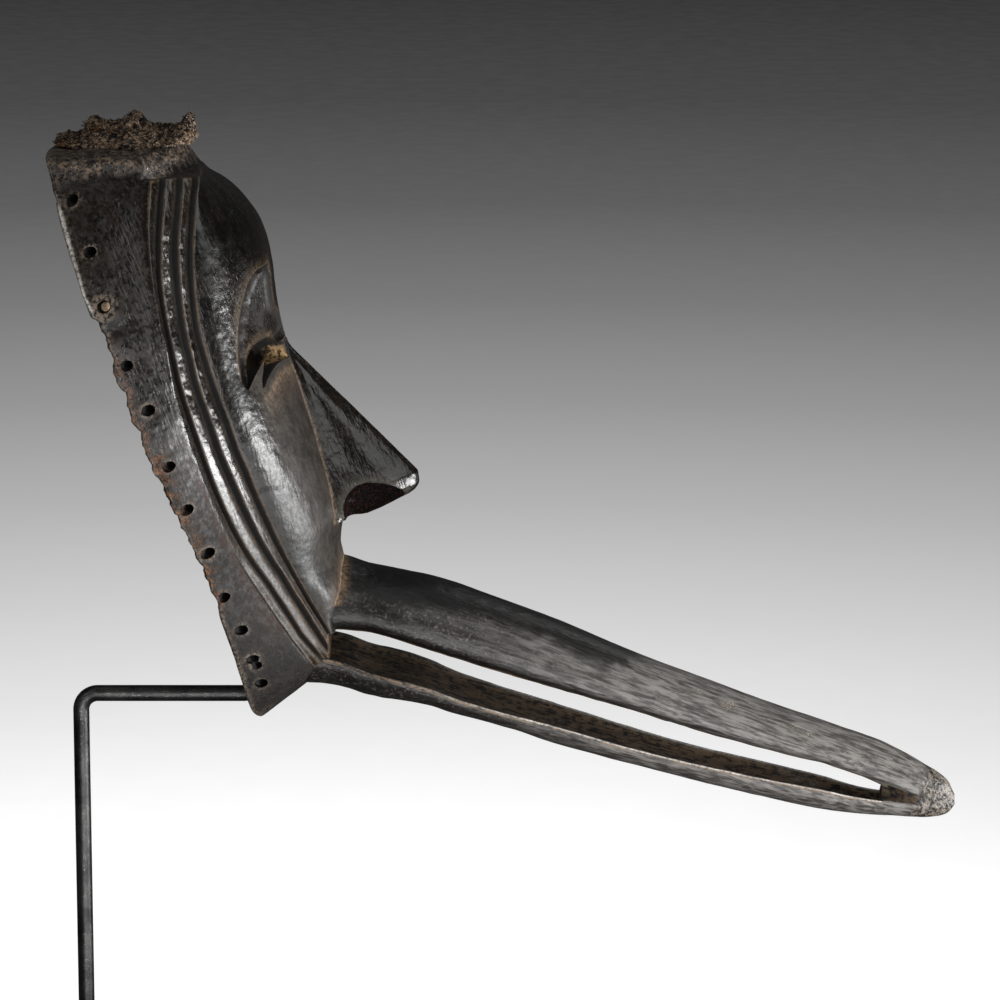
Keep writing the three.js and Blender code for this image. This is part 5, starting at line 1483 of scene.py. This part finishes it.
# ------------------------------------------------------------------ floor, light, camera
def floor_piece():
    rings = [0.0] + [0.02 * 1.17 ** k for k in range(44)]
    verts, faces = [(0.0, 0.0, 0.0)], []
    n = 96
    for r in rings[1:]:
        for k in range(n):
            a = 2 * math.pi * k / n
            verts.append((r * math.cos(a), r * math.sin(a), 0.0))
    for k in range(n):
        faces.append((0, 1 + k, 1 + (k + 1) % n))
    for i in range(len(rings) - 2):
        for k in range(n):
            a, b = 1 + i * n + k, 1 + i * n + (k + 1) % n
            faces.append((a, a + n, b + n, b))
    me = bpy.data.meshes.new("floor")
    me.from_pydata(verts, [], faces)
    ob = bpy.data.objects.new("floor", me)
    bpy.context.scene.collection.objects.link(ob)
    # the floor glows: a painted pool of light, brightest round the stand and fading outwards, stands in for lamp light
    # falling on it
    m = Nodes("floor_painted_glow")
    length = m.tree.nodes.new("ShaderNodeVectorMath")
    length.operation = "LENGTH"
    m.link(m.coord.outputs["Object"], length.inputs[0])
    r = length.outputs["Value"]
    curve = m.tree.nodes.new("ShaderNodeValToRGB")
    curve.color_ramp.interpolation = "LINEAR"
    scale = m.math("DIVIDE", r, 4.4, clamp=True)
    m.link(scale, curve.inputs[0])
    stops = [(0.00, 1.160), (0.30, 1.160), (0.43, 1.060), (0.62, 0.860), (0.85, 0.678), (1.13, 0.493), (1.47, 0.335), (1.88, 0.214), (2.40, 0.125), (3.10, 0.072), (4.04, 0.044), (4.40, 0.038)]
    ramp = curve.color_ramp
    while len(ramp.elements) < len(stops):
        ramp.elements.new(0.5)
    for e, (pos, val) in zip(ramp.elements, stops):
        e.position = pos / 4.4
        e.color = (val, val, val, 1)
    tint = m.noise(m.scaled(40), 2, 0.5)
    col = m.mix(m.ramp(tint, 0.3, 0.7, 0.0, 0.02), curve.outputs[0], (0.4, 0.4, 0.4))
    m.link(m.mix(0.65, col, (0.0, 0.0, 0.0)), m.bsdf.inputs["Base Color"])
    m.link(col, m.bsdf.inputs["Emission Color"])
    m.bsdf.inputs["Emission Strength"].default_value = 0.85
    m.bsdf.inputs["Roughness"].default_value = 0.9
    m.bsdf.inputs["Specular IOR Level"].default_value = 0.1
    me.materials.append(m.mat)
    return ob


floor = floor_piece()
floor.visible_diffuse = False
floor.visible_glossy = False
floor.visible_shadow = False
floor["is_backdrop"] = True


def softbox(name, azimuth, elevation, distance, size, energy, aim=(0.06, 0.0, 0.24), tone=(1, 1, 1)):
    data = bpy.data.lights.new(name, "AREA")
    data.shape = "RECTANGLE"
    data.size, data.size_y = size
    data.energy = energy
    data.color = tone
    ob = bpy.data.objects.new(name, data)
    bpy.context.scene.collection.objects.link(ob)
    a, e = math.radians(azimuth), math.radians(elevation)
    way = Vector((math.sin(a) * math.cos(e), -math.cos(a) * math.cos(e), math.sin(e)))
    ob.location = Vector(aim) + way * distance
    ob.rotation_euler = (-way).to_track_quat("-Z", "Y").to_euler()
    ob.visible_camera = False
    return ob


softbox("key_right", 73, -7, 1.5, (0.74, 0.44), 27)
softbox("front_soft", 114, -2, 1.3, (0.5, 0.34), 0.36)
softbox("fill_front", 18, 0, 1.9, (0.30, 0.18), 2.4)
softbox("beak_soft", 40, 45, 0.6, (0.34, 0.34), 0.7, (0.15, 0.0, 0.17))
softbox("sliver", -14, 0, 1.7, (0.12, 0.42), 3.2)
softbox("low_front", 10, -24, 0.9, (1.0, 0.4), 4.4, (0.16, 0.0, 0.22))
softbox("top", 0, 88, 1.9, (1.4, 1.4), 3.5)
softbox("back_right", 150, 40, 2.0, (0.5, 0.4), 1.4, (0.22, 0.0, 0.2))
softbox("left", -36, 30, 1.7, (0.16, 0.5), 4, (-0.04, -0.05, 0.30))

world = bpy.data.worlds.new("studio")
world.use_nodes = True
world.node_tree.nodes["Background"].inputs[0].default_value = (1, 1, 1, 1)
world.node_tree.nodes["Background"].inputs[1].default_value = 0.03
bpy.context.scene.world = world

cam_data = bpy.data.cameras.new("camera")
cam_data.sensor_width = 36.0
cam_data.lens = 175.385
cam_data.clip_start, cam_data.clip_end = 0.05, 60.0
cam = bpy.data.objects.new("camera", cam_data)
bpy.context.scene.collection.objects.link(cam)
aim = Vector((0.095, 0.0, 0.240))
back = Vector((0.0, -math.cos(math.radians(12)), math.sin(math.radians(12))))
cam.location = aim + back * 1.9
cam.rotation_euler = (-back).to_track_quat("-Z", "Y").to_euler()
bpy.context.scene.camera = cam
bpy.context.scene.view_settings.view_transform = "Standard"
bpy.context.scene.view_settings.look = "None"

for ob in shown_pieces():
    if ob.type == "MESH":
        print("piece", ob.name, sum(len(p.vertices) - 2 for p in ob.data.polygons), "triangles")
